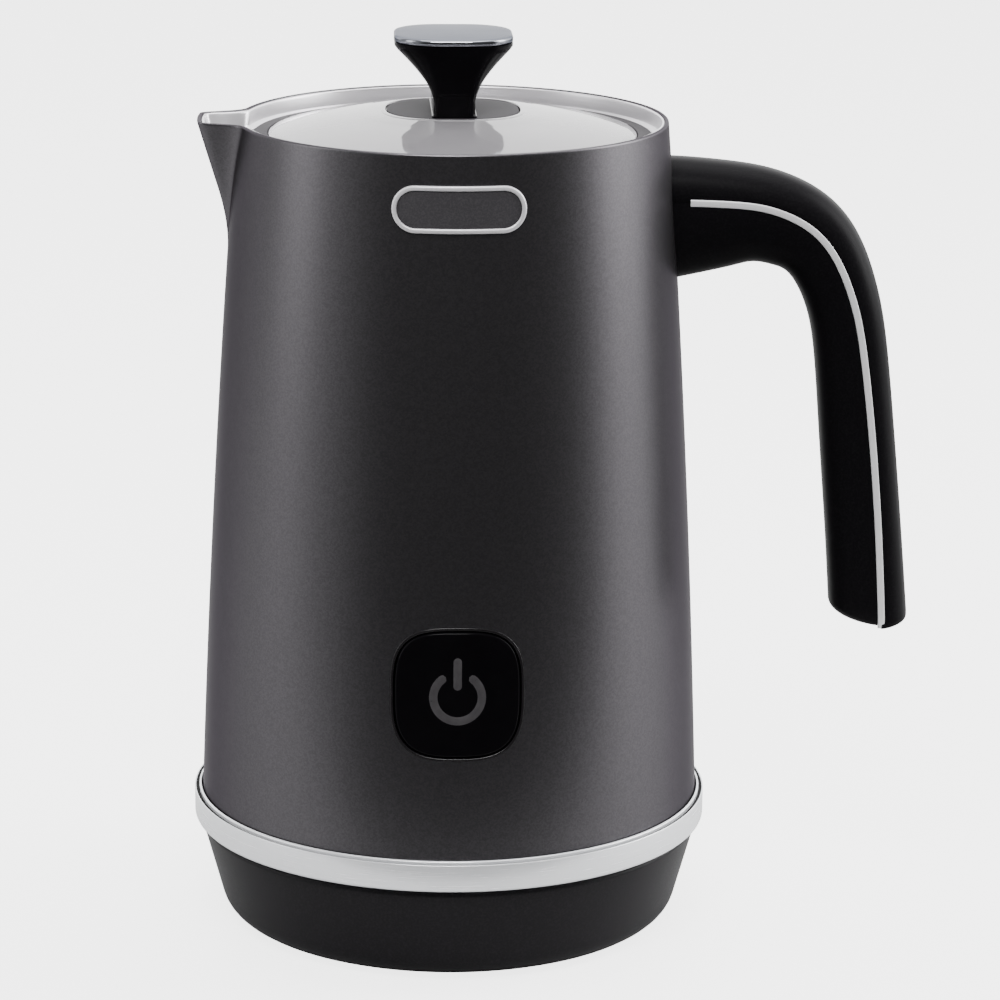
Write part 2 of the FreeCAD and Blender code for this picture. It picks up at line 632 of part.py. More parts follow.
cap_outline = rectangle("button_width", "button_height", "button_corner", "button_z")
hole_outline = rectangle("button_width + 2 * button_gap", "button_height + 2 * button_gap",
                         "button_corner + button_gap", "button_z")
bezel_outline = rectangle("button_width + 2 * button_gap + 2 * bezel_line",
                          "button_height + 2 * button_gap + 2 * bezel_line",
                          "button_corner + button_gap + bezel_line", "button_z")
bezel_form = prism("bezel_form", bezel_outline, "20")
bezel_ring = cut("bezel_ring", bezel_form, prism("bezel_hole", hole_outline, "19"))
board_pegs = [cylinder(f"board_peg{i}", "peg_radius", "peg_length", f"{side} * peg_x", "-peg_front_y",
                       f"button_z + {rise} * peg_rise", (0, 1, 0))
              for i, (side, rise) in enumerate(((-1, -1), (1, -1), (-1, 1), (1, 1)))]
trimmed_pegs = [common(f"peg_in{i}", peg, wall_body(f"peg_wall{i}", "jug_wall + 0.2"))
                for i, peg in enumerate(board_pegs)]
button_bezel = node("button_bezel", fuse(
    "button_bezel", front_patch("bezel_patch", bezel_ring, "0.05", "-4.5"), *trimmed_pegs))

icon_disc = cylinder("icon_disc", "icon_radius", "60", y="-75", z="button_z - 1", direction=(0, 1, 0))
icon_hole = cylinder("icon_hole", "icon_radius - icon_line", "62", y="-76", z="button_z - 1",
                     direction=(0, 1, 0))
icon_slot = box("icon_slot", "2 * icon_line + 1.6", "80", "icon_radius + 2", "-icon_line - 0.8", "-78",
                "button_z - 1")
icon_ring = cut("icon_ring", icon_disc, icon_hole, icon_slot)
icon_bar = box("icon_bar", "icon_line", "60", "icon_radius + 1.6", "-icon_line / 2", "-75", "button_z")
icon_form = fuse("icon_form", icon_ring, icon_bar)
power_icon = node("power_icon", front_patch("power_icon", icon_form, "0.2", "-0.6"))
cap_patch = front_patch("cap_patch", prism("cap_form", cap_outline, "20"), "0.15", "-button_thick")
plunger = cylinder("plunger", "plunger_radius", "plunger_length", y="-plunger_front_y", z="button_z",
                   direction=(0, 1, 0))
node("power_button", cut("power_button", fuse("button_solid", cap_patch, plunger), power_icon))

stadium = rectangle("badge_length", "badge_height", "badge_height / 2 - 0.02", "badge_z")
stadium_in = rectangle("badge_length - 2 * badge_line", "badge_height - 2 * badge_line",
                       "badge_height / 2 - badge_line - 0.02", "badge_z")
badge_hole = prism("badge_hole", stadium_in, "19")
badge_form = cut("badge_form", prism("badge_outer", stadium, "20"), badge_hole)
node("badge_frame", front_patch("badge_frame", badge_form, "0.8", "0"))
node("badge_plate", front_patch("badge_plate", prism("badge_inner", stadium_in, "20"), "0.35", "0"))

# ---------------------------------------------------------------- jug: handle
# stations along the bright strip: x, z, depth of the outer shell, depth of the inner shell
STRIP_STATIONS = (
    (44.0, 177.8, 9.8, 21.0), (56.0, 177.7, 9.4, 19.0), (66.0, 177.3, 8.8, 16.6), (75.0, 176.0, 8.3, 14.3),
    (83.6, 172.2, 8.1, 12.9), (90.4, 165.1, 7.7, 11.4), (95.4, 153.7, 7.0, 10.7), (98.4, 139.7, 6.6, 11.0),
    (101.1, 118.5, 6.3, 11.8), (103.2, 95.8, 6.4, 11.9), (104.5, 75.4, 6.6, 11.7),
)
SECTION_STEP = 0.4
END_ROUND = ((0.0, 1.0), (0.07, 0.97), (0.13, 0.88), (0.17, 0.72), (0.19, 0.5))


def curve_through(points):
    """A spline through points, whose parameter counts the points from 0."""
    curve = Part.BSplineCurve()
    curve.interpolate(Points=points, Parameters=[float(i) for i in range(len(points))])
    return curve


STRIP_LINE = curve_through([FreeCAD.Vector(x, 0, z) for x, z, _, _ in STRIP_STATIONS])
SHELL_DEPTHS = curve_through([FreeCAD.Vector(outer, inner, 0) for _, _, outer, inner in STRIP_STATIONS])


def half_section(way, scale, side, power):
    """Half of the handle's section: a superellipse standing out of the strip's plane.

    way is the parameter along the strip's line and scale shrinks the section near the open end.
    side is +1 for the outer shell, on the outside of the bend, and -1 for the inner.
    """
    last = len(STRIP_STATIONS) - 1.0
    middle = STRIP_LINE.value(min(way, last)) + STRIP_LINE.getD1(last)[1] * max(way - last, 0)
    along = STRIP_LINE.getD1(min(way, last))[1].normalize()
    out = FreeCAD.Vector(-along.z, 0, along.x) * side
    depths = SHELL_DEPTHS.value(min(way, last))
    depth = (depths.x if side > 0 else depths.y) * scale
    half_width = size_of("handle_half_width") * (0.5 + 0.5 * scale)
    points = []
    for turn in (0, 15, 35, 55, 75, 90, 105, 125, 145, 165, 180):
        angle = math.radians(turn)
        across = math.copysign(abs(math.cos(angle)) ** (2 / power), math.cos(angle))
        rise = math.sin(angle) ** (2 / power) if 0 < turn < 180 else 0
        points.append(middle + FreeCAD.Vector(0, half_width * across, 0) + out * (depth * rise))
    arch = Part.BSplineCurve()
    arch.interpolate(points)
    return Part.Wire([arch.toShape(), Part.makeLine(points[-1], points[0])])


def handle_half(name, side, power):
    """One shell of the handle, lofted along the strip's line as a solid."""
    last = len(STRIP_STATIONS) - 1
    steps = [(SECTION_STEP * i, 1.0) for i in range(int(last / SECTION_STEP))]
    steps += [(last + extra, scale) for extra, scale in END_ROUND]
    half = doc.addObject("Part::Feature", name)
    half.Shape = Part.makeLoft([half_section(way, scale, side, power) for way, scale in steps], True, True)
    return half


def strip_bar(name, side):
    """One bright strip: a flat bar swept along the strip's line at one side of the handle."""
    width, depth = size_of("strip_width"), size_of("strip_depth")
    face_y = side * size_of("handle_half_width")
    path = curve_through([FreeCAD.Vector(x, face_y, z) for x, z, _, _ in STRIP_STATIONS[1:]])
    start = path.value(0)
    y_out, y_in = face_y + 0.1 * side, face_y - depth * side
    z_low, z_high = start.z - width / 2, start.z + width / 2
    corners = [(y_out, z_low), (y_in, z_low), (y_in, z_high), (y_out, z_high), (y_out, z_low)]
    section = Part.makePolygon([FreeCAD.Vector(start.x, y, z) for y, z in corners])
    bar = doc.addObject("Part::Feature", name)
    bar.Shape = Part.Wire([path.toShape()]).makePipeShell([section], True, False)
    return bar


strip_bars = [strip_bar("strip_left", -1), strip_bar("strip_right", 1)]
node("handle_strips", group("handle_strips", *strip_bars))
jug_filled = wall_body("jug_filled", "0")
handle_screws = [screw(f"handle_screw{i}", "handle_screw_length", "handle_screw_shank", "handle_screw_head",
                       "handle_screw_head_height", f"{level}_screw_x", "0", f"{level}_screw_z", (1, 0, 0))
                 for i, level in enumerate(("upper", "lower"))]
handle_screw_set = node("handle_screws", group("handle_screws", *handle_screws))
outer_half = handle_half("outer_half", 1, 2.3)
inner_half = handle_half("inner_half", -1, 2.6)
node("handle_outer_shell", cut("handle_outer_shell", outer_half, jug_filled, *strip_bars))
node("handle_inner_shell", cut("handle_inner_shell", inner_half, jug_filled, *strip_bars, handle_screw_set))
bracket_layer = cut("bracket_layer", wall_body("bracket_out", "jug_wall"),
                    wall_body("bracket_in", "jug_wall + bracket_thick"))
bracket_block = box("bracket_block", "30", "bracket_width", "bracket_height", "40", "-bracket_width / 2",
                    "bracket_low_z")
bracket_form = common("bracket_form", bracket_layer, bracket_block)
node("handle_bracket", cut("handle_bracket", bracket_form, handle_screw_set))

# ---------------------------------------------------------------- jug: painted wall and steel pot
wall_outer = fuse("wall_outer", common("wall_outer_trim", wall_body("wall_out", "0"),
                                       cylinder("wall_slab", "80", "rim_z - jug_low_z", z="jug_low_z")),
                  beak("beak_outer", 0.0, 0.0))
node("jug_shell", cut("jug_shell", wall_outer, wall_body("wall_in", "jug_wall"), beak("beak_inner", 1.0, 2.0),
                      prism("bezel_seat", bezel_outline, "20"), handle_screw_set))

pot_outside = turned("pot_outside", [
    ("0", "pot_floor_z - pot_wall"),
    ("pot_floor_radius - pot_corner", "pot_floor_z - pot_wall", "-(pot_corner + pot_wall)"),
    ("pot_floor_radius + pot_wall", "pot_floor_z + pot_corner"), ("neck_radius + pot_wall", "ledge_z - 12"),
    ("neck_radius + pot_wall", "ledge_z - pot_wall"), ("pot_rim_radius + pot_wall", "ledge_z - pot_wall"),
    ("pot_rim_radius + pot_wall", "rim_z - 0.3"), ("0", "rim_z - 0.3"),
])
pot_inside = turned("pot_inside", [
    ("0", "pot_floor_z"), ("pot_floor_radius - pot_corner", "pot_floor_z", "-pot_corner"),
    ("pot_floor_radius", "pot_floor_z + pot_corner"), ("neck_radius", "ledge_z - 12"),
    ("neck_radius", "ledge_z"), ("pot_rim_radius", "ledge_z"), ("pot_rim_radius", "rim_z + 2"),
    ("0", "rim_z + 2"),
])
pot_solid = common("pot_trim", fuse("pot_solid", pot_outside, beak("beak_lining", 1.05, -0.3)),
                   cylinder("pot_slab", "80", "rim_z - 0.3 - 90", z="90"))
node("inner_pot", cut("inner_pot", pot_solid, pot_inside, beak("beak_channel", 1.65, 2.0)))
node("pot_spindle", turned("pot_spindle", [
    ("0", "pot_floor_z"), ("4", "pot_floor_z"), ("4", "pot_floor_z + 0.4"),
    ("spindle_radius", "pot_floor_z + 0.4"),
    ("spindle_radius", "spindle_top_z - 1"), ("spindle_radius - 1", "spindle_top_z"), ("0", "spindle_top_z"),
]))

# ---------------------------------------------------------------- jug: heating
plate_under = "pot_floor_z - pot_wall - heater_thick"
node("heater_plate", ring("heater_plate", "heater_outer", "heater_inner", "heater_thick", plate_under))
element = add("Part::Torus", "element", Radius1="element_ring", Radius2="element_tube")
element.setExpression("Angle3", bound("360 - element_gap"))
place(element, z=f"{plate_under} - element_tube - 0.05")
element.Placement.Rotation = FreeCAD.Rotation(FreeCAD.Vector(0, 0, 1), -size_of("element_gap"))
node("heating_element", element)
node("temperature_sensor", cylinder("temperature_sensor", "sensor_radius", "sensor_height", "sensor_x", "0",
                                    f"{plate_under} - sensor_height"))
node("thermal_cutout", cylinder("thermal_cutout", "cutout_radius", "cutout_height", "-cutout_x", "0",
                                f"{plate_under} - cutout_height"))

# ---------------------------------------------------------------- jug: drive
chassis_top = "chassis_z + chassis_thick"
motor_screws = [screw(f"motor_screw{i}", "motor_screw_length", "motor_screw_shank", "motor_screw_head",
                      "motor_screw_head_height", f"{side} * motor_screw_x", "0",
                      "chassis_z - motor_screw_head_height")
                for i, side in enumerate((-1, 1))]
motor_screw_set = node("motor_screws", group("motor_screws", *motor_screws))
chassis_disc = cut("chassis_disc", cylinder("chassis_plate", "chassis_radius", "chassis_thick", z="chassis_z"),
                   cylinder("eye_tool", "chassis_eye", "chassis_thick + 2", z="chassis_z - 1"))
node("motor_chassis", cut("motor_chassis", fuse("motor_chassis", chassis_disc, *legs), cover_screw_set,
                          motor_screw_set))
motor_top = f"{chassis_top} + motor_height"
can_body = turned("can_body", [
    ("shaft_bore", chassis_top), ("motor_radius", chassis_top), ("motor_radius", motor_top),
    ("shaft_bore", motor_top), ("shaft_bore", f"{motor_top} - 2.5"),
    ("motor_radius - motor_wall", f"{motor_top} - 2.5"), ("motor_radius - motor_wall", f"{chassis_top} + 2.5"),
    ("shaft_bore", f"{chassis_top} + 2.5"),
])
node("motor_can", cut("motor_can", can_body, motor_screw_set))
node("field_magnets", ring("field_magnets", "motor_radius - motor_wall", "rotor_radius + field_gap",
                           "stack_height", f"{chassis_top} + stack_gap"))
shaft = node("motor_shaft", cylinder("motor_shaft", "shaft_radius", "holder_top_z - 3 - shaft_low_z",
                                     z="shaft_low_z"))
node("motor_armature", ring("motor_armature", "rotor_radius", "shaft_radius", "stack_height",
                            f"{chassis_top} + stack_gap"))
drive_magnets = [cylinder(f"drive_magnet{i}", "magnet_radius", "magnet_thick",
                          *polar("magnet_circle + 1.6", angle), "holder_top_z - magnet_thick")
                 for i, angle in enumerate(around(4))]
drive_magnet_set = node("drive_magnets", group("drive_magnets", *drive_magnets))
node("magnet_holder", cut("magnet_holder", cylinder("holder_disc", "holder_radius",
                                                     "holder_top_z - holder_low_z", z="holder_low_z"),
                          shaft, drive_magnet_set))

# ---------------------------------------------------------------- jug: control
board = box("board", "board_side", "board_thick", "board_side", "-board_side / 2", "-board_front_y",
            "board_low_z")
node("control_board", cut("control_board", board, button_bezel))
board_back = "-board_front_y + board_thick"
node("tact_switch", box("tact_switch", "switch_side", "switch_depth", "switch_side", "-switch_side / 2",
                        "-board_front_y - switch_depth", "button_z - switch_side / 2"))
node("relay", box("relay", "relay_width", "relay_depth", "relay_height", "-relay_x", board_back, "relay_low_z"))
node("capacitor", cylinder("capacitor", "capacitor_radius", "capacitor_length", "capacitor_x", board_back,
                           "capacitor_z", (0, 1, 0)))
leds = [box(f"led{i}", "led_width", "led_depth", "led_height", f"{side} * led_x - led_width / 2",
            "-board_front_y - led_depth", "button_z + 1") for i, side in enumerate((-1, 1))]
node("indicator_leds", group("indicator_leds", *leds))

# ---------------------------------------------------------------- whisk
hub_magnets = [cylinder(f"hub_magnet{i}", "magnet_radius", "magnet_thick", *polar("magnet_circle", angle),
                        "hub_low_z + 0.8") for i, angle in enumerate(around(4))]
hub_magnet_set = node("whisk_magnets", group("whisk_magnets", *hub_magnets))
hub_body = turned("hub_body", [
    ("hub_bore", "hub_low_z"), ("hub_radius - 0.8", "hub_low_z"), ("hub_radius", "hub_low_z + 0.8"),
    ("hub_radius", "hub_shoulder_z - 0.8"), ("hub_radius - 0.8", "hub_shoulder_z"),
    ("hub_neck_radius", "hub_shoulder_z"), ("hub_neck_radius", "hub_top_z - 1.5"),
    ("hub_neck_radius - 1.5", "hub_top_z"), ("0", "hub_top_z"), ("0", "spindle_top_z + 0.5"),
    ("hub_bore", "spindle_top_z + 0.5"),
])
node("whisk_hub", cut("whisk_hub", hub_body, hub_magnet_set))
ring_z = "(collar_low_z + collar_top_z) / 2"
spokes = []
for number, angle in enumerate(around(3, 90)):
    spoke = add("Part::Cylinder", f"whisk_spoke{number}", Radius="spoke_radius",
                Height="whisk_ring - collar_bore - 1")
    x, y = polar("collar_bore + 0.8", angle)
    spokes.append(place(spoke, x, y, ring_z, (math.cos(angle), math.sin(angle), 0)))
wire_ring = place(add("Part::Torus", "wire_ring", Radius1="whisk_ring", Radius2="ring_tube"), z=ring_z)
collar = ring("collar", "collar_radius", "collar_bore", "collar_top_z - collar_low_z", "collar_low_z")
whisk_frame = node("whisk_frame", fuse("whisk_frame", collar, wire_ring, *spokes))
coil_form = place(add("Part::Torus", "coil_form", Radius1="whisk_ring", Radius2="coil_radius"), z=ring_z)
node("whisk_coil", cut("whisk_coil", coil_form, whisk_frame))

# ---------------------------------------------------------------- lid
boss = turned("lid_boss", [
    ("0", "boss_low_z"), ("boss_radius", "boss_low_z"), ("boss_radius", "boss_top_z - 0.3"),
    ("boss_radius - 0.3", "boss_top_z"), ("0", "boss_top_z"),
])
dome_hole = "(boss_radius + 0.1)"
dome_start = f"(dome_apex_z - dome_radius + sqrt(dome_radius * dome_radius - {dome_hole} * {dome_hole}))"
dome_end = "(dome_apex_z - dome_radius + sqrt(dome_radius * dome_radius - dome_edge * dome_edge))"
dome_body = turned("dome_body", [
    ("0", "lid_middle_z"), ("17", "lid_middle_z"), ("18.5", "lid_middle_z + 1.2"),
    ("dome_edge - dome_thick", f"{dome_end} - 1.7"), ("dome_edge - dome_thick", "skirt_low_z"),
    ("dome_edge", "skirt_low_z"), ("dome_edge", dome_end, "-dome_radius"),
    (dome_hole, dome_start), (dome_hole, "boss_low_z"), ("0", "boss_low_z"),
])
node("lid_seal", turned("lid_seal", [
    ("dome_edge", "skirt_low_z + 0.6"), ("seal_radius - 0.2", "skirt_low_z + 0.6"),
    ("seal_radius - 0.1", "skirt_low_z + 1.4"), ("dome_edge + 1.8", "skirt_low_z + 2"),
    ("dome_edge + 1.8", "ledge_z - 1.2"), ("seal_radius", "ledge_z - 0.7"), ("seal_radius", "ledge_z"),
    ("seal_radius - 0.5", "ledge_z + 0.6"), ("dome_edge", "ledge_z + 0.9"),
]))

# the post is a flared blade: half widths (x) against heights (z), from its foot to its rim
foot, waist, top = "knob_foot_half", "knob_waist_half", "(knob_width / 2)"
post_blade = padded("post_blade", "XZ_Plane", [
    (f"-{foot}", "boss_top_z"), (foot, "boss_top_z"), (foot, "boss_top_z + 0.6"), (waist, "boss_top_z + 2.2"),
    (waist, "boss_top_z + 6.0", "18"), (f"{top} * 0.62", "boss_top_z + 11.3", "60"),
    (f"{top}", "post_top_z - 1.3"), (top, "post_top_z"), (f"-{top}", "post_top_z"),
    (f"-{top}", "post_top_z - 1.3", "60"), (f"-{top} * 0.62", "boss_top_z + 11.3", "18"),
    (f"-{waist}", "boss_top_z + 6.0"), (f"-{waist}", "boss_top_z + 2.2"), (f"-{foot}", "boss_top_z + 0.6"),
], "knob_depth", "-knob_depth / 2")
post_column = padded("post_column", "XY_Plane", rectangle("knob_width", "knob_depth", "knob_corner"), "30",
                     "boss_top_z - 5")
knob_screws = [screw(f"knob_screw{i}", "knob_screw_length", "knob_screw_shank", "knob_screw_head",
                     "knob_screw_head_height", "0", f"{side} * knob_screw_y",
                     "lid_middle_z - knob_screw_head_height")
               for i, side in enumerate((-1, 1))]
knob_screw_set = node("knob_screws", group("knob_screws", *knob_screws))
node("knob_post", cut("knob_post", common("knob_post", post_blade, post_column), knob_screw_set))
cap_block = padded("cap_block", "XY_Plane", rectangle("knob_width", "knob_depth", "knob_corner"),
                   "cap_top_z - post_top_z", "post_top_z")
cap_block = rounded(cap_block, "0.5", lambda edge: edge.BoundBox.ZMin > size_of("cap_top_z") - 0.01)
node("knob_cap", cap_block)
node("lid_dome", cut("lid_dome", dome_body, knob_screw_set))
node("lid_disc", cut("lid_disc", boss, knob_screw_set))

# ---------------------------------------------------------------- check and write
doc.recompute()
for obj in doc.Objects:
    if "Invalid" in obj.State or "Error" in obj.State:
        raise RuntimeError(f"{obj.Label} failed: {obj.State}")
os.makedirs("parts", exist_ok=True)
for name, obj in NODES.items():
    shape = obj.Shape
    if shape.isNull() or not shape.isValid() or not shape.Solids:
        raise RuntimeError(f"{name} has no valid solid")
    shape.exportStep(f"parts/{name}.step")
print(len(NODES), "parts")
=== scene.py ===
import logging
import math
from dataclasses import dataclass, field
from enum import Enum
from typing import Callable, Iterable, Optional, Sequence

import bmesh
import bpy
import numpy as np
from mathutils import Euler, Matrix, Vector

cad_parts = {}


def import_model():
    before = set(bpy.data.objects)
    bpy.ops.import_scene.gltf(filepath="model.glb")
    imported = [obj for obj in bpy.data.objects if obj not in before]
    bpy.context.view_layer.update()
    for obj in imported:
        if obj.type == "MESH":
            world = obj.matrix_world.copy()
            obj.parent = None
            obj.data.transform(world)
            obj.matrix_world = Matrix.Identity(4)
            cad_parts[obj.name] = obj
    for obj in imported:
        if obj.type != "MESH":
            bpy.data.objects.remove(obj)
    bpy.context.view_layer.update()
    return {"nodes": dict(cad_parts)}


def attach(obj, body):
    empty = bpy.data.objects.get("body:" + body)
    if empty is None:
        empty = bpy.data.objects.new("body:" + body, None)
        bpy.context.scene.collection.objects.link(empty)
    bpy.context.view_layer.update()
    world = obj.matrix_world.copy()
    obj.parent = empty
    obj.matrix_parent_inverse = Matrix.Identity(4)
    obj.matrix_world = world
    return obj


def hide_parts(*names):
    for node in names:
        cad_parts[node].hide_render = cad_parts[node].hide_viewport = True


# A heated milk frother on its power base.  All sizes are millimetres until a mesh is written, in
# the frame of the CAD part: +Z up, the spout at -X, the handle at +X, the button and badge at -Y.

LOG = logging.getLogger("frother")
MM = 0.001
TAU = 2 * math.pi


# ------------------------------------------------------------------------------ curves and outlines
def smooth_max(a: np.ndarray, b: np.ndarray, width: float | np.ndarray) -> np.ndarray:
    """The larger of two values, with a round transition.

    Where the two differ by less than width, a quarter of width times the square of the share
    that is left is added, so both slopes run into each other as in a fillet.

    Args:
        a: First value.
        b: Second value.
        width: Difference at which the transition starts.

    Returns:
        The blended larger value.
    """
    share = np.clip(1 - np.abs(a - b) / width, 0, None)
    return np.maximum(a, b) + width * share * share / 4


def smooth_min(a: np.ndarray, b: np.ndarray, width: float | np.ndarray) -> np.ndarray:
    """The smaller of two values, with the same round transition as smooth_max."""
    return -smooth_max(-a, -b, width)


def rounded(corners: np.ndarray, radii: np.ndarray, steps: int = 6) -> np.ndarray:
    """A closed polygon with each corner turned into an arc.

    The arc touches both sides at radius over the tangent of half the inner angle from the corner.
    It is a rational quadratic curve whose middle weight is the sine of half the inner angle, which
    makes it a true circle.

    Args:
        corners: Corner points, shape (..., n, 2).
        radii: Radius at each corner, shape (..., n) or (n,).
        steps: Points on each arc.

    Returns:
        Points of the rounded outline, shape (..., n * steps, 2).
    """
    back = np.roll(corners, 1, axis=-2) - corners
    ahead = np.roll(corners, -1, axis=-2) - corners
    back_length = np.linalg.norm(back, axis=-1)
    ahead_length = np.linalg.norm(ahead, axis=-1)
    back = back / back_length[..., None]
    ahead = ahead / ahead_length[..., None]
    half = 0.5 * np.arccos(np.clip((back * ahead).sum(-1), -1, 1))
    reach = np.minimum(radii / np.tan(half), 0.495 * np.minimum(back_length, ahead_length))
    t = np.linspace(0, 1, steps)[:, None]
    weight = np.sin(half)[..., None, None]
    start = (corners + back * reach[..., None])[..., None, :]
    stop = (corners + ahead * reach[..., None])[..., None, :]
    middle = corners[..., None, :]
    top = (1 - t) ** 2 * start + 2 * t * (1 - t) * weight * middle + t**2 * stop
    bottom = (1 - t) ** 2 + 2 * t * (1 - t) * weight + t**2
    points = top / bottom
    return points.reshape(*corners.shape[:-2], -1, 2)


def evenly(outline: np.ndarray, count: int) -> np.ndarray:
    """A closed outline with points at equal steps of its length.

    Args:
        outline: Points of the closed outline, shape (n, 2).
        count: Number of points wanted.

    Returns:
        The new points, shape (count, 2).
    """
    loop = np.vstack([outline, outline[:1]])
    along = np.r_[0, np.cumsum(np.linalg.norm(np.diff(loop, axis=0), axis=1))]
    keep = np.r_[True, np.diff(along) > 1e-9]
    at = np.linspace(0, along[-1], count, endpoint=False)
    return np.stack([np.interp(at, along[keep], loop[keep, k]) for k in (0, 1)], axis=1)


def box_outline(width: float, height: float, corner: float, count: int = 160) -> np.ndarray:
    """A rounded rectangle about the origin, as points at equal steps.

    Args:
        width: Full width.
        height: Full height.
        corner: Radius of its corners.
        count: Number of points.

    Returns:
        The outline, anticlockwise, shape (count, 2).
    """
    w, h = width / 2, height / 2
    corners = np.array([[-w, -h], [w, -h], [w, h], [-w, h]])
    return evenly(rounded(corners, np.full(4, corner), 16), count)


def inward(outline: np.ndarray) -> np.ndarray:
    """Unit vectors pointing into a closed outline that runs anticlockwise."""
    run = np.roll(outline, -1, axis=0) - np.roll(outline, 1, axis=0)
    run /= np.linalg.norm(run, axis=1, keepdims=True)
    return np.stack([-run[:, 1], run[:, 0]], axis=1)


def signed_power(value: np.ndarray, power: float) -> np.ndarray:
    """A power of a value's size, with the value's own sign."""
    return np.sign(value) * np.abs(value) ** power


def revolved(radius: np.ndarray, z: np.ndarray, angle: np.ndarray) -> np.ndarray:
    """Points (r cos a, r sin a, z) about the main axis, a row for each height."""
    return np.stack([radius * np.cos(angle), radius * np.sin(angle), z + 0 * angle], axis=-1)


def hoop(radius: float, centre_z: float, count: int) -> np.ndarray:
    """A circle in the plane y = 0 about a point of the main axis, shape (count, 3)."""
    angle = np.linspace(0, TAU, count, endpoint=False)
    return np.stack([radius * np.cos(angle), 0 * angle, centre_z + radius * np.sin(angle)], axis=-1)


def spline(stations: np.ndarray, at: np.ndarray) -> tuple[np.ndarray, np.ndarray]:
    """A natural cubic spline through stations that stand at whole parameters.

    The second derivatives solve the usual system with 1, 4, 1 on its diagonals.  Past the last
    station the line goes on straight.

    Args:
        stations: Values at parameters 0, 1, 2..., shape (n, k).
        at: Parameters to evaluate.

    Returns:
        The values and their derivatives, each of shape (len(at), k).
    """
    count = len(stations)
    system = np.eye(count)
    inner = np.arange(1, count - 1)
    system[inner, inner] = 4
    system[inner, inner - 1] = 1
    system[inner, inner + 1] = 1
    right = np.zeros_like(stations)
    right[1:-1] = 6 * (stations[2:] - 2 * stations[1:-1] + stations[:-2])
    bend = np.linalg.solve(system, right)
    clipped = np.clip(at, 0, count - 1)
    i = np.minimum(clipped.astype(int), count - 2)
    t = (clipped - i)[:, None]
    low, high = stations[i], stations[i + 1]
    value = (1 - t) * low + t * high + ((1 - t) ** 3 - (1 - t)) * bend[i] / 6 + (t**3 - t) * bend[i + 1] / 6
    slope = high - low - (3 * (1 - t) ** 2 - 1) * bend[i] / 6 + (3 * t**2 - 1) * bend[i + 1] / 6
    return value + slope * (at - clipped)[:, None], slope


# ------------------------------------------------------------------------------ meshes
def smooth(mesh: bpy.types.Mesh, crease: float) -> None:
    """Shades a mesh smooth, with edges above an angle in degrees left sharp."""
    mesh.polygons.foreach_set("use_smooth", np.ones(len(mesh.polygons), bool))
    mesh.set_sharp_from_angle(angle=math.radians(crease))


def skin(name: str, grid: np.ndarray, ring: bool = True, loop: bool = False,
         poles: tuple[bool, bool] = (False, False), crease: float = 40.0) -> bpy.types.Object:
    """Makes an object from a grid of points, its rows joined by quads.

    Args:
        name: Name of the object and its mesh.
        grid: Points in millimetres, shape (rows, columns, 3).
        ring: Whether the last column joins the first.
        loop: Whether the last row joins the first.
        poles: Whether the first and the last row close to a point in their middle.
        crease: Angle in degrees above which an edge shows as a sharp one.

    Returns:
        The object, linked to the scene, with its faces pointing outwards.
    """
    rows, columns, _ = grid.shape
    points = grid.reshape(-1, 3)
    index = np.arange(rows * columns).reshape(rows, columns)
    if ring:
        index = np.hstack([index, index[:, :1]])
    if loop:
        index = np.vstack([index, index[:1]])
    quads = np.stack([index[:-1, :-1], index[:-1, 1:], index[1:, 1:], index[1:, :-1]], axis=-1)
    faces = quads.reshape(-1, 4).tolist()
    for closed, row, flip in ((poles[0], 0, 1), (poles[1], -1, -1)):
        if closed:
            middle = len(points)
            points = np.vstack([points, grid[row].mean(axis=0)])
            edge = index[row]
            fan = np.stack([edge[1:], edge[:-1], np.full(len(edge) - 1, middle)], axis=1)
            faces += fan[:, ::flip].tolist()
    mesh = bpy.data.meshes.new(name)
    mesh.from_pydata((points * MM).tolist(), [], faces)
    work = bmesh.new()
    work.from_mesh(mesh)
    bmesh.ops.remove_doubles(work, verts=work.verts, dist=1e-7)
    bmesh.ops.recalc_face_normals(work, faces=work.faces)
    work.to_mesh(mesh)
    work.free()
    smooth(mesh, crease)
    mesh.update()
    obj = bpy.data.objects.new(name, mesh)
    bpy.context.scene.collection.objects.link(obj)
    return obj


def turned(name: str, corners: Sequence[tuple[float, float, float]], turns: int = 224,
           steps: int = 6) -> bpy.types.Object:
    """A body of revolution about the main axis.

    The outline's points (r, z) go round as (r cos a, r sin a, z) for a from 0 to a full turn.

    Args:
        name: Name of the object.
        corners: Radius, height and corner radius of each corner of the closed outline.
        turns: Columns round the axis.
        steps: Points on each rounded corner.

    Returns:
        The object.
    """
    table = np.array(corners, float)
    outline = rounded(table[:, :2], table[:, 2], steps)
    on_axis = np.abs(table[:, 0]) < 1e-9
    touches = bool(on_axis.any())
    if touches:
        first = int(np.argmax(on_axis & ~np.roll(on_axis, 1)))
        outline = np.roll(outline, -(first + 1) * steps, axis=0)
        last = int(np.roll(on_axis, -(first + 1)).argmax())
        outline = outline[: last * steps]
        ends = np.roll(table[:, :2], -first, axis=0)
        outline = np.vstack([[1e-4, ends[0, 1]], outline, [1e-4, ends[last + 1, 1]]])
    angle = np.linspace(0, TAU, turns, endpoint=False)
    grid = revolved(outline[:, :1], outline[:, 1:], angle)
    return skin(name, grid, loop=not touches, poles=(touches, touches))


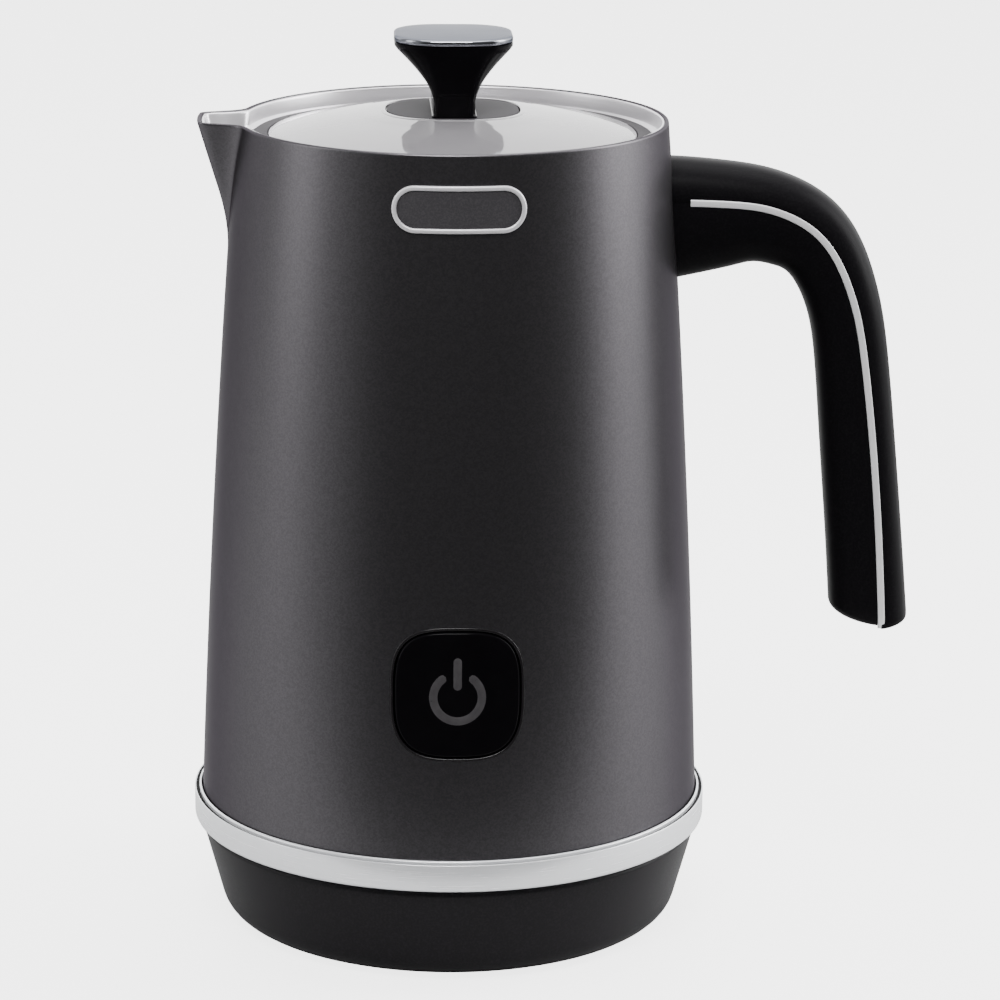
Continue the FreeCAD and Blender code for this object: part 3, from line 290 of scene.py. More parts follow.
def carve(piece: bpy.types.Object, cutter: bpy.types.Object) -> bpy.types.Object:
    """Takes a cutter out of a piece, writes the result into its mesh and removes the cutter.

    Args:
        piece: The piece to open.
        cutter: A closed form where the opening is to be.

    Returns:
        The same piece.
    """
    modifier = piece.modifiers.new("opening", "BOOLEAN")
    modifier.operation = "DIFFERENCE"
    modifier.solver = "EXACT"
    modifier.object = cutter
    bpy.context.view_layer.update()
    evaluated = piece.evaluated_get(bpy.context.evaluated_depsgraph_get())
    mesh = bpy.data.meshes.new_from_object(evaluated)
    piece.modifiers.clear()
    piece.data = mesh
    smooth(mesh, 40)
    bpy.data.objects.remove(cutter)
    return piece


# ------------------------------------------------------------------------------ finishes
def linear(code: str) -> tuple[float, float, float, float]:
    """A colour from its sRGB hex code as linear values, with full alpha."""
    values = [int(code[i:i + 2], 16) / 255 for i in (1, 3, 5)]
    red, green, blue = (v / 12.92 if v <= 0.04045 else ((v + 0.055) / 1.055) ** 2.4 for v in values)
    return red, green, blue, 1.0


def add_node(tree: bpy.types.NodeTree, kind: str, inputs: Optional[dict] = None,
             **settings: object) -> bpy.types.Node:
    """Adds a node.

    Args:
        tree: Node tree to add it to.
        kind: Type name of the node.
        inputs: Values or sockets for its inputs, by name or number.
        **settings: Attributes of the node itself.

    Returns:
        The node.
    """
    node = tree.nodes.new(kind)
    for key, value in settings.items():
        setattr(node, key, value)
    for key, value in (inputs or {}).items():
        if isinstance(value, bpy.types.NodeSocket):
            tree.links.new(value, node.inputs[key])
        else:
            node.inputs[key].default_value = value
    return node


def shades(tree: bpy.types.NodeTree, factor: bpy.types.NodeSocket, low: str, high: str,
           start: float = 0.3, stop: float = 0.7) -> bpy.types.NodeSocket:
    """A colour that runs from one shade to another as a factor rises.

    Args:
        tree: Node tree to work in.
        factor: The factor.
        low: Hex code of the shade below start.
        high: Hex code of the shade above stop.
        start: Factor at which the change begins.
        stop: Factor at which it ends.

    Returns:
        The colour's socket.
    """
    ramp = add_node(tree, "ShaderNodeValToRGB", {0: factor})
    first, second = ramp.color_ramp.elements
    first.position, first.color = start, linear(low)
    second.position, second.color = stop, linear(high)
    return ramp.outputs[0]


def ranged(tree: bpy.types.NodeTree, factor: bpy.types.NodeSocket, low: float,
           high: float) -> bpy.types.NodeSocket:
    """A number that runs from low to high as a factor goes from 0 to 1."""
    return add_node(tree, "ShaderNodeMapRange", {0: factor, 3: low, 4: high}).outputs[0]


@dataclass(frozen=True)
class Finish:
    """What every finish has; a plain one has a fine grain of its own."""

    name: str
    colour: str
    second: str
    roughness: float
    metallic: float = 0.0
    grain_mm: float = 1.2
    relief_mm: float = 0.01
    spread: float = 0.06
    coat: float = 0.0
    coat_roughness: float = 0.1
    specular: float = 0.5
    edge_tint: str = "#ffffff"

    def coordinates(self, tree: bpy.types.NodeTree,
                    stretch: tuple[float, float, float] = (1, 1, 1)) -> bpy.types.NodeSocket:
        """Object coordinates counted in millimetres.

        Args:
            tree: Node tree to work in.
            stretch: How many times longer the pattern is along each axis.

        Returns:
            The vector's socket.
        """
        place = add_node(tree, "ShaderNodeTexCoord").outputs["Object"]
        scale = tuple(1 / (MM * s) for s in stretch)
        return add_node(tree, "ShaderNodeMapping", {"Vector": place, "Scale": scale}).outputs[0]

    def pattern(self, tree: bpy.types.NodeTree) -> bpy.types.NodeSocket:
        """The factor from 0 to 1 that the grain follows."""
        noise = add_node(tree, "ShaderNodeTexNoise", {
            "Vector": self.coordinates(tree), "Scale": 1 / self.grain_mm, "Detail": 4.0, "Roughness": 0.6})
        return noise.outputs["Fac"]

    def build(self) -> bpy.types.Material:
        """Makes the material.

        Returns:
            The material, with its colour, roughness and relief led by the pattern.
        """
        material = bpy.data.materials.new(self.name)
        material.use_nodes = True
        tree = material.node_tree
        shader = tree.nodes["Principled BSDF"]
        factor = self.pattern(tree)
        tree.links.new(shades(tree, factor, self.colour, self.second), shader.inputs["Base Color"])
        tree.links.new(ranged(tree, factor, max(self.roughness - self.spread, 0.02),
                              self.roughness + self.spread), shader.inputs["Roughness"])
        bump = add_node(tree, "ShaderNodeBump", {"Height": factor, "Strength": 0.6,
                                                 "Distance": self.relief_mm * MM})
        tree.links.new(bump.outputs[0], shader.inputs["Normal"])
        shader.inputs["Metallic"].default_value = self.metallic
        shader.inputs["Coat Weight"].default_value = self.coat
        shader.inputs["Coat Roughness"].default_value = self.coat_roughness
        shader.inputs["Specular IOR Level"].default_value = self.specular
        shader.inputs["Specular Tint"].default_value = linear(self.edge_tint)
        self.extras(shader)
        return material

    def extras(self, shader: bpy.types.Node) -> None:
        """Settings that only some finishes have; a plain one has none."""


@dataclass(frozen=True)
class FlakePaint(Finish):
    """Sprayed metallic paint: flakes about 0.3 mm apart glint one by one under a satin clear coat."""

    flake_mm: float = 0.34

    def pattern(self, tree: bpy.types.NodeTree) -> bpy.types.NodeSocket:
        """Cells of one shade each, a flake wide, mixed with a softer cloud of the paint's mist."""
        cells = add_node(tree, "ShaderNodeTexVoronoi", {
            "Vector": self.coordinates(tree), "Scale": 1 / self.flake_mm})
        grey = add_node(tree, "ShaderNodeSeparateColor", {0: cells.outputs["Color"]}).outputs[0]
        mist = super().pattern(tree)
        return add_node(tree, "ShaderNodeMix", {0: 0.5, 2: grey, 3: mist}, data_type="FLOAT").outputs[0]


class Lay(Enum):
    """Which way the fine lines of a brushed or spun metal run."""

    ROUND = (14.0, 14.0, 0.22)
    UPRIGHT = (0.3, 0.3, 16.0)
    LENGTHWISE = (12.0, 0.3, 12.0)


@dataclass(frozen=True)
class BrushedMetal(Finish):
    """Metal with fine lines left by a belt or by spinning, which draw its highlights out sideways."""

    lay: Lay = Lay.ROUND

    def pattern(self, tree: bpy.types.NodeTree) -> bpy.types.NodeSocket:
        """Noise drawn out many times longer along the lines than across them."""
        noise = add_node(tree, "ShaderNodeTexNoise", {
            "Vector": self.coordinates(tree, self.lay.value), "Scale": 1.0, "Detail": 5.0, "Roughness": 0.65})
        return noise.outputs["Fac"]


@dataclass(frozen=True)
class SparkPlastic(Finish):
    """Plastic moulded in a spark-eroded mould: tiny even pits that break its gloss."""

    def pattern(self, tree: bpy.types.NodeTree) -> bpy.types.NodeSocket:
        """Round pits a grain apart."""
        cells = add_node(tree, "ShaderNodeTexVoronoi", {
            "Vector": self.coordinates(tree), "Scale": 1 / self.grain_mm, "Randomness": 1.0},
            feature="SMOOTH_F1")
        return cells.outputs["Distance"]


@dataclass(frozen=True)
class TranslucentPlastic(Finish):
    """Polished plastic tinted grey that lets a little light in under its surface."""

    depth_mm: float = 1.2

    def extras(self, shader: bpy.types.Node) -> None:
        """Light scatters under the surface over about a millimetre."""
        shader.inputs["Subsurface Weight"].default_value = 0.25
        shader.inputs["Subsurface Radius"].default_value = (1.0, 1.0, 1.0)
        shader.inputs["Subsurface Scale"].default_value = self.depth_mm * MM


@dataclass(frozen=True)
class CircuitBoard(Finish):
    """Green solder resist over copper tracks, which show as slightly lighter lines."""

    pitch_mm: float = 2.54

    def pattern(self, tree: bpy.types.NodeTree) -> bpy.types.NodeSocket:
        """Square cells at the pitch of the parts' legs, their borders being the tracks."""
        bricks = add_node(tree, "ShaderNodeTexBrick", {
            "Vector": self.coordinates(tree), "Scale": 1 / self.pitch_mm, "Color1": (0, 0, 0, 1),
            "Color2": (0.35, 0.35, 0.35, 1), "Mortar": (1, 1, 1, 1), "Mortar Size": 0.06})
        return bricks.outputs["Color"]


# Satin metallic paint: near black face on, silver-grey where it turns away, with a fine glint.
GRAPHITE_PAINT = FlakePaint("satin_metallic_paint", "#555356", "#5d5b5e", 0.36, metallic=1.0, grain_mm=0.5,
                            relief_mm=0.001, edge_tint="#a9a7aa", spread=0.02)
# Nickel-chrome plated steel, lightly brushed round: near white with fine level lines.
BRUSHED_CHROME = BrushedMetal("brushed_chrome_plate", "#f0f2f6", "#fcfdff", 0.26, metallic=0.5,
                              relief_mm=0.002, spread=0.05)
# Polished chrome plate over plastic: takes a clean dark and light reflection.
POLISHED_CHROME = Finish("polished_chrome_plate", "#85878d", "#8f9197", 0.12, metallic=1.0, grain_mm=6.0,
                         relief_mm=0.001, spread=0.03, edge_tint="#a3a5ab")
# Satin chrome plate of the handle's strips: a bright even line.
STRIP_CHROME = BrushedMetal("satin_chrome_strip", "#f2f1f3", "#fafafb", 0.42, metallic=0.3,
                            relief_mm=0.001, spread=0.04, lay=Lay.UPRIGHT)
# Deep-drawn stainless steel with spun lines: soft grey bands that follow the curve of the pot.
SPUN_STEEL = BrushedMetal("spun_stainless_steel", "#e6e4e7", "#eceaed", 0.3, metallic=0.72,
                          relief_mm=0.001, spread=0.02)
# Drawn stainless wire of the whisk: bright with drawing marks along it.
DRAWN_WIRE = BrushedMetal("drawn_stainless_wire", "#c4c4c5", "#dedede", 0.22, metallic=1.0, relief_mm=0.002,
                          lay=Lay.LENGTHWISE)
# Satin ABS of the base: soft black with a fine spark grain that spreads its highlights.
SATIN_ABS = SparkPlastic("satin_black_abs", "#1a191b", "#211f22", 0.46, grain_mm=0.45, relief_mm=0.003,
                         specular=0.1)
# Handle ABS: slightly glossier, so the bend carries one long soft highlight.
HANDLE_ABS = SparkPlastic("handle_black_abs", "#0f0e10", "#141315", 0.4, grain_mm=0.4, relief_mm=0.002,
                          specular=0.03)
# Matt moulded parts that are out of sight in use.
MATT_PP = SparkPlastic("matt_black_polypropylene", "#171718", "#202021", 0.58, grain_mm=0.6, relief_mm=0.01)
# Polished black plastic of knob and button: deep black with a clean gloss.
GLOSS_ABS = Finish("polished_black_abs", "#080709", "#0b0a0c", 0.16, grain_mm=9.0, relief_mm=0.001,
                   spread=0.03, specular=0.04)
# Bezel round the button: the same plastic, a shade lighter so that its edge reads.
BEZEL_ABS = Finish("bezel_black_abs", "#131113", "#1a181a", 0.24, grain_mm=7.0, relief_mm=0.001, spread=0.03,
                   specular=0.3)
# Power symbol: a light window moulded in smoked grey.
ICON_WINDOW = Finish("smoked_light_window", "#3a383a", "#444244", 0.3, grain_mm=2.0, relief_mm=0.001)
# Smoked translucent plastic of the lid: pale grey with a mirror-like gloss.
LID_PLASTIC = TranslucentPlastic("translucent_grey_plastic", "#777578", "#7c7a7d", 0.07, grain_mm=12.0,
                                 relief_mm=0.0005, spread=0.02, coat=0.7, coat_roughness=0.03, specular=1.0)
# Disc under the knob: dark smoked plastic with a soft sheen.
DISC_PLASTIC = Finish("smoked_grey_plastic", "#343235", "#3c3a3d", 0.4, grain_mm=9.0, relief_mm=0.0005,
                      spread=0.03, specular=0.01)
# Silicone of the lid's seal: dull dark grey.
SILICONE = Finish("grey_silicone", "#323033", "#3a383b", 0.6, grain_mm=0.8, relief_mm=0.006, specular=0.12)
# Rubber of the foot ring and the gland: dull black.
RUBBER = Finish("black_rubber", "#0c0c0c", "#131313", 0.72, grain_mm=0.7, relief_mm=0.01, specular=0.12)
# Badge border: satin nickel plate.
BADGE_PLATE = Finish("satin_nickel_plate", "#dddbde", "#e8e6e9", 0.4, metallic=0.4, grain_mm=0.5,
                     relief_mm=0.001)
# Badge field: dark blasted field with no lettering.
BADGE_FIELD = SparkPlastic("blasted_dark_field", "#312f32", "#3c3a3d", 0.5, grain_mm=0.35, relief_mm=0.01)
# Connector tower: grey glass-filled nylon.
TOWER_NYLON = SparkPlastic("grey_glass_filled_nylon", "#4a4a4c", "#565658", 0.5, grain_mm=0.9, relief_mm=0.01)
# Zinc-plated steel: cool grey with cloudy patches.
ZINC_STEEL = Finish("zinc_plated_steel", "#a6a9ab", "#c0c3c4", 0.34, metallic=1.0, grain_mm=2.5)
# Motor iron: dark laminations.
MOTOR_IRON = BrushedMetal("laminated_iron", "#4c4b4a", "#676563", 0.45, metallic=1.0)
# Nickel-plated magnets: warm bright metal.
MAGNET_NICKEL = Finish("nickel_plated_magnet", "#c8c4bd", "#d8d5cf", 0.2, metallic=1.0, grain_mm=1.5)
# Pressed aluminium of the heater plate.
PRESSED_ALUMINIUM = Finish("pressed_aluminium", "#bcbdbe", "#d0d1d2", 0.4, metallic=1.0, grain_mm=0.8)
# Heating element sheath: steel tinted straw and blue by heat.
ELEMENT_STEEL = Finish("heat_tinted_steel", "#6f6963", "#8d8170", 0.42, metallic=1.0, grain_mm=6.0)
# Brass of pins, terminals and sensors.
BRASS = Finish("drawn_brass", "#b08a4c", "#c9a562", 0.28, metallic=1.0, grain_mm=1.0)
# Nylon of the whisk's hub and the magnet holder.
HUB_NYLON = SparkPlastic("black_nylon", "#1c1c1e", "#262628", 0.42, grain_mm=0.5, relief_mm=0.006)
# Circuit board.
BOARD = CircuitBoard("green_solder_resist", "#12401f", "#2d6a38", 0.36, grain_mm=1.0)
# Relay, capacitor and switch housings.
COMPONENT = SparkPlastic("black_component_epoxy", "#1d1d1f", "#29292b", 0.5, grain_mm=0.5)
# Lens of the indicator lights.
LED_LENS = Finish("milky_led_lens", "#e2e2da", "#eeeee8", 0.22, grain_mm=1.0, relief_mm=0.001)


class Wardrobe:
    """Builds each finish once and hands out its material."""

    def __init__(self) -> None:
        """Starts with no materials."""
        self.made: dict[str, bpy.types.Material] = {}

    def material(self, finish: Finish) -> bpy.types.Material:
        """The material of a finish, made the first time it is asked for."""
        if finish.name not in self.made:
            self.made[finish.name] = finish.build()
        return self.made[finish.name]

    def dress(self, piece: bpy.types.Object, finish: Finish) -> None:
        """Gives a piece a finish in place of what it has."""
        piece.data.materials.clear()
        piece.data.materials.append(self.material(finish))


# ------------------------------------------------------------------------------ sub-assemblies
@dataclass
class SubAssembly:
    """A group of pieces that ride on one body of the CAD part."""

    wardrobe: Wardrobe
    body: str = "jug"

    def settle(self, piece: bpy.types.Object, finish: Finish, slot: str, nodes: Iterable[str] = (),
               body: Optional[str] = None) -> bpy.types.Object:
        """Dresses a finished piece and lets it ride on its body.

        Args:
            piece: The piece, in place.
            finish: Its finish.
            slot: The record's material slot; not used.
            nodes: CAD nodes that it stands for.
            body: Body to ride on, where it isn't the group's own.

        Returns:
            The same piece.
        """
        self.wardrobe.dress(piece, finish)
        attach(piece, body or self.body)
        if nodes:
            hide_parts(*nodes)
        LOG.info("%s: %d faces, %s", piece.name, len(piece.data.polygons), finish.name)
        return piece

    def build(self) -> None:
        """Builds and dresses the group's pieces."""
        raise NotImplementedError


@dataclass
class JugForm:
    """The jug's outer form, as a radius over the angle from the spout and the height."""

    low_z: float = 28.0
    low_radius: float = 60.65
    rim_z: float = 196.5
    rim_radius: float = 51.1
    bow: float = 0.945
    tip: float = 60.5
    nose_bend: float = 68.0
    side_normal: tuple[float, float] = (0.3296, 0.9441)
    side_reach: float = 10.48
    apex_x: float = 51.3
    apex_z: float = 166.0
    zone: float = 27.0
    mouth_angle: float = 0.62
    away: float = 20.0

    def wall(self, z: np.ndarray) -> np.ndarray:
        """Radius of the plain wall: a straight taper plus a shallow bow, highest half way up."""
        t = (z - self.low_z) / (self.rim_z - self.low_z)
        return self.low_radius + (self.rim_radius - self.low_radius) * t + 4 * self.bow * t * (1 - t)

    def rise(self, z: np.ndarray) -> np.ndarray:
        """How far up the spout a height is: 0 at the foot of its ridge and 1 at the rim."""
        return (z - self.apex_z) / (self.rim_z - self.apex_z)

    def beak(self, angle: np.ndarray, z: np.ndarray) -> np.ndarray:
        """Radius of the spout's cone alone.

        The mouth is a flat arc between two straight sides.  Each level is the mouth shrunk towards
        the foot of the ridge, and the nose and the sides meet in a small round corner.  Past the
        mouth's angle the radius is one that stays well inside the wall.

        Args:
            angle: Angle from the spout's direction, in radians.
            z: Height.

        Returns:
            Distance from the axis to the cone.
        """
        angle = (angle + math.pi) % TAU - math.pi
        share = np.clip(self.rise(z), -0.5, 1.1)
        side_x, side_y = self.side_normal
        square = side_x * np.cos(angle) + side_y * np.abs(np.sin(angle))
        side = (side_x * self.apex_x + self.side_reach * share) / np.maximum(square, 0.05)
        reach = self.apex_x + (self.tip - self.apex_x) * share
        near = np.clip(angle, -0.7, 0.7)
        half = reach * np.tan(near)
        nose = (reach - half**2 / (2 * self.nose_bend)) / np.cos(near)
        cone = smooth_min(side, nose, 0.6 + 1.8 * np.clip(share, 0, 1))
        return np.where(np.abs(angle) < self.mouth_angle, cone, self.away)

    def blend(self, z: np.ndarray) -> np.ndarray:
        """Width of the blend between spout and wall, which grows towards the rim."""
        return 2.6 + 1.6 * np.clip(self.rise(z), 0, 1)

    def radius(self, angle: np.ndarray, z: np.ndarray) -> np.ndarray:
        """Radius of the whole outer form: wall and spout run together in a fillet."""
        return smooth_max(self.wall(z), self.beak(angle, z), self.blend(z))

    def inset(self, surface: Callable[[np.ndarray, np.ndarray], np.ndarray], angle: np.ndarray, z: np.ndarray,
              depth: np.ndarray) -> np.ndarray:
        """A surface's radius taken in by a depth measured square to it.

        The depth along the radius is the depth times the root of 1 plus the squares of the slope
        along the turn and the slope along the height.

        Args:
            surface: Gives a radius from an angle and a height.
            angle: Angle from the spout's direction, in radians.
            z: Height.
            depth: Depth under the surface.

        Returns:
            The radius at that depth.
        """
        step = 1e-3
        here = surface(angle, z)
        along = (surface(angle + step, z) - surface(angle - step, z)) / (2 * step) / here
        up = (surface(angle, z + step * 50) - surface(angle, z - step * 50)) / (step * 100)
        return here - depth * np.sqrt(1 + along**2 + up**2)

    def angles(self, fine: int, coarse: int) -> np.ndarray:
        """Angles round the jug, closer together over the spout."""
        edge = math.radians(self.zone)
        return np.r_[np.linspace(-edge, edge, fine), np.linspace(edge, TAU - edge, coarse)[1:-1]]

    def points(self, angle: np.ndarray, radius: np.ndarray, z: np.ndarray) -> np.ndarray:
        """Points from the angle off the spout's direction, the radius and the height."""
        return np.stack([-radius * np.cos(angle), -radius * np.sin(angle), z + 0 * radius], axis=-1)

    def on_front(self, flat: np.ndarray, height: np.ndarray) -> np.ndarray:
        """Lays points of the front view on the wall.

        Args:
            flat: x and z, shape (..., 2).
            height: How far each point stands off the wall, measured along the radius.

        Returns:
            Points with y = -sqrt((wall radius + height)^2 - x^2), shape (..., 3).
        """
        x, z = flat[..., 0], flat[..., 1]
        reach = self.wall(z) + height
        return np.stack([x, -np.sqrt(np.maximum(reach**2 - x**2, 0)), z], axis=-1)


@dataclass
class PaintedJug(SubAssembly):
    """The painted wall with its spout, one skin 1 mm thick that turns over at the rim."""

    form: JugForm = field(default_factory=JugForm)
    thickness: float = 1.0
    foot_z: float = 28.3
    fine_z: float = 157.0
    seat: Optional[np.ndarray] = None

    def shell(self) -> bpy.types.Object:
        """The wall: up the outside, over a half-round rim and down the inside.

        Above fine_z the rows stand closer together, to follow the spout.

        Returns:
            The wall as a closed skin.
        """
        angle = self.form.angles(161, 150)[None, :]
        rim_z, fine_z, half = self.form.rim_z, self.fine_z, self.thickness / 2
        outside = np.r_[np.linspace(self.foot_z, fine_z, 42), np.linspace(fine_z + 0.6, rim_z - 0.6, 76)]
        over = np.linspace(0, math.pi, 7)
        inside = np.r_[np.linspace(rim_z - 1, fine_z + 3, 18), np.linspace(fine_z - 5, self.foot_z, 8)]
        z = np.r_[outside, rim_z - half + half * np.sin(over), inside]
        depth = np.r_[0 * outside, half * (1 - np.cos(over)), 0 * inside + self.thickness]
        z, depth = z[:, None], depth[:, None]
        radius = self.form.inset(self.form.radius, angle, z, depth)
        return skin("painted_jug", self.form.points(angle, radius, z), loop=True)

    def build(self) -> None:
        """The shell with the opening in which the button's bezel sits."""
        shell = self.shell()
        if self.seat is not None:
            reach = np.array([-72.0, -40.0])[:, None]
            x, z = self.seat[None, :, 0], self.seat[None, :, 1]
            block = np.stack([x + 0 * reach, 0 * x + reach, z + 0 * reach], axis=-1)
            carve(shell, skin("seat_cutter", block, poles=(True, True)))
        self.settle(shell, GRAPHITE_PAINT, "graphite_paint", ["jug_shell"])


@dataclass
class SteelPot(SubAssembly):
    """The steel pot and its lining of the spout, drawn in one sheet 0.6 mm thick."""

    form: JugForm = field(default_factory=JugForm)
    sheet: float = 0.6
    floor_z: float = 98.0
    belly: float = 46.0
    corner: float = 8.0
    neck: float = 47.65
    ledge_z: float = 192.2
    mouth: float = 49.5
    top_z: float = 196.2
    lining: float = 1.65

    def rows(self) -> np.ndarray:
        """Radius, height and depth under the painted face for each row.

        The rows run from the middle of the floor up the inside, over the rim and back down the
        outside to the middle of the underside.

        Returns:
            A table of three columns.
        """
        turn = np.linspace(-math.pi / 2, 0, 8)
        floor = np.stack([np.linspace(2, 36, 8), np.full(8, self.floor_z)], axis=1)
        corner = np.stack([self.belly + self.corner * (np.cos(turn) - 1),
                           self.floor_z + self.corner * (np.sin(turn) + 1)], axis=1)
        low = np.stack([np.linspace(46.2, 47.4, 8), np.linspace(110, 164, 8)], axis=1)
        high_z = np.linspace(165, self.ledge_z - 0.5, 54)
        high = np.stack([np.interp(high_z, [164, 180.2], [47.4, self.neck]), high_z], axis=1)
        step = np.array([[self.neck, self.ledge_z - 0.2], [self.neck + 0.15, self.ledge_z],
                         [self.mouth - 0.3, self.ledge_z + 0.02], [self.mouth, self.ledge_z + 0.35]])
        side_z = np.linspace(self.ledge_z + 0.8, self.top_z - 0.3, 7)
        side = np.stack([np.full(7, self.mouth), side_z], axis=1)
        inside = np.vstack([floor, corner, low, high, step, side])
        over = np.linspace(0, math.pi, 7)[1:-1]
        rim = np.stack([self.mouth + 0.3 - 0.3 * np.cos(over), self.top_z - 0.3 + 0.3 * np.sin(over)], axis=1)
        keep = inside[::-3]
        outside = np.stack([keep[:, 0] + self.sheet * (keep[:, 1] > 100),
                            keep[:, 1] - self.sheet * (keep[:, 1] <= 100)], axis=1)
        return np.vstack([
            np.c_[inside, np.full(len(inside), self.lining)],
            np.c_[rim, self.lining - self.sheet * (1 - np.cos(over)) / 2],
            np.c_[outside, np.full(len(outside), self.lining - self.sheet)],
        ])

    def build(self) -> None:
        """The pot's radius and the spout's lining run together in a fillet, row by row."""
        angle = self.form.angles(161, 130)[None, :]
        radius, z, depth = (column[:, None] for column in self.rows().T)
        lining = self.form.inset(self.form.beak, angle, z, depth)
        joined = smooth_max(radius, lining, self.form.blend(z))
        pot = skin("steel_pot", self.form.points(angle, joined, z), poles=(True, True))
        self.settle(pot, SPUN_STEEL, "pot_steel", ["inner_pot"])


@dataclass
class FootBand(SubAssembly):
    """The bright band round the jug's foot, a dark ring set in its groove as painted shade, and a thin bright
    lip.
    """

    outer: float = 62.5
    inner: float = 60.85
    groove: tuple[float, float] = (61.4, 62.2)
    flange: float = 59.0
    low_z: float = 24.9
    top_z: float = 31.6

    def build(self) -> None:
        """Three turned rings: the band with its flange, a black ring of painted shade low in the groove, and
        the lip.
        """
        lip_edge, band_edge = self.groove
        flange_z, seat_z, shade_top_z = self.low_z + 1.7, self.top_z - 3.4, self.top_z - 0.35
        band = turned("foot_band_ring", [
            (self.flange, self.low_z, 0.2), (self.outer, self.low_z, 0.8), (self.outer, self.top_z, 0.25),
            (band_edge, self.top_z, 0.1), (band_edge, flange_z, 0.1), (self.flange, flange_z, 0.1),
        ], turns=288)
        self.settle(band, BRUSHED_CHROME, "bright_band", ["foot_band"])
        # Painted shade: a black rubber ring sunk in the groove, so that the groove reads as a dark line.
        groove_shade = turned("foot_band_groove_shade", [
            (lip_edge, seat_z, 0.1), (band_edge, seat_z, 0.1), (band_edge, shade_top_z, 0.1),
            (lip_edge, shade_top_z, 0.1)])
        self.settle(groove_shade, RUBBER, "rubber_black")
        lip = turned("foot_band_lip", [
            (self.inner, seat_z, 0.1), (lip_edge, seat_z, 0.1), (lip_edge, self.top_z + 0.45, 0.25),
            (self.inner, self.top_z + 0.75, 0.15)], turns=256)
        self.settle(lip, BRUSHED_CHROME, "bright_band")


@dataclass
class PowerBase(SubAssembly):
    """The bowl of the power base, a thin moulded shell open over the connector."""

    body: str = "base"
    top_radius: float = 61.0
    top_z: float = 24.3
    low_z: float = 0.6
    wall: float = 2.4
    foot_corner: float = 54.5
    opening: float = 13.1
    underside: float = 43.8
    gland_radius: float = 4.9
    gland_z: float = 12.0

    def build(self) -> None:
        """A turned bowl with a large round at its foot, pierced where the gland sits."""
        floor_z, roof_z = self.low_z + self.wall, self.top_z - self.wall
        bowl = turned("base_bowl", [
            (self.opening, self.top_z, 0.3), (self.top_radius, self.top_z, 1.1),
            (self.foot_corner, self.low_z, 12.6), (self.underside, self.low_z, 0.2),
            (self.underside, floor_z, 0.1), (self.foot_corner - 2.7, floor_z, 7.6),
            (57.6, roof_z, 0.4), (self.opening, roof_z, 0.2),
        ], turns=256, steps=9)
        ring = hoop(self.gland_radius, self.gland_z, 64)
        hole = np.stack([ring + [0, 48.0, 0], ring + [0, 64.0, 0]])
        carve(bowl, skin("gland_cutter", hole, poles=(True, True)))
        self.settle(bowl, SATIN_ABS, "satin_black", ["base_shell"])


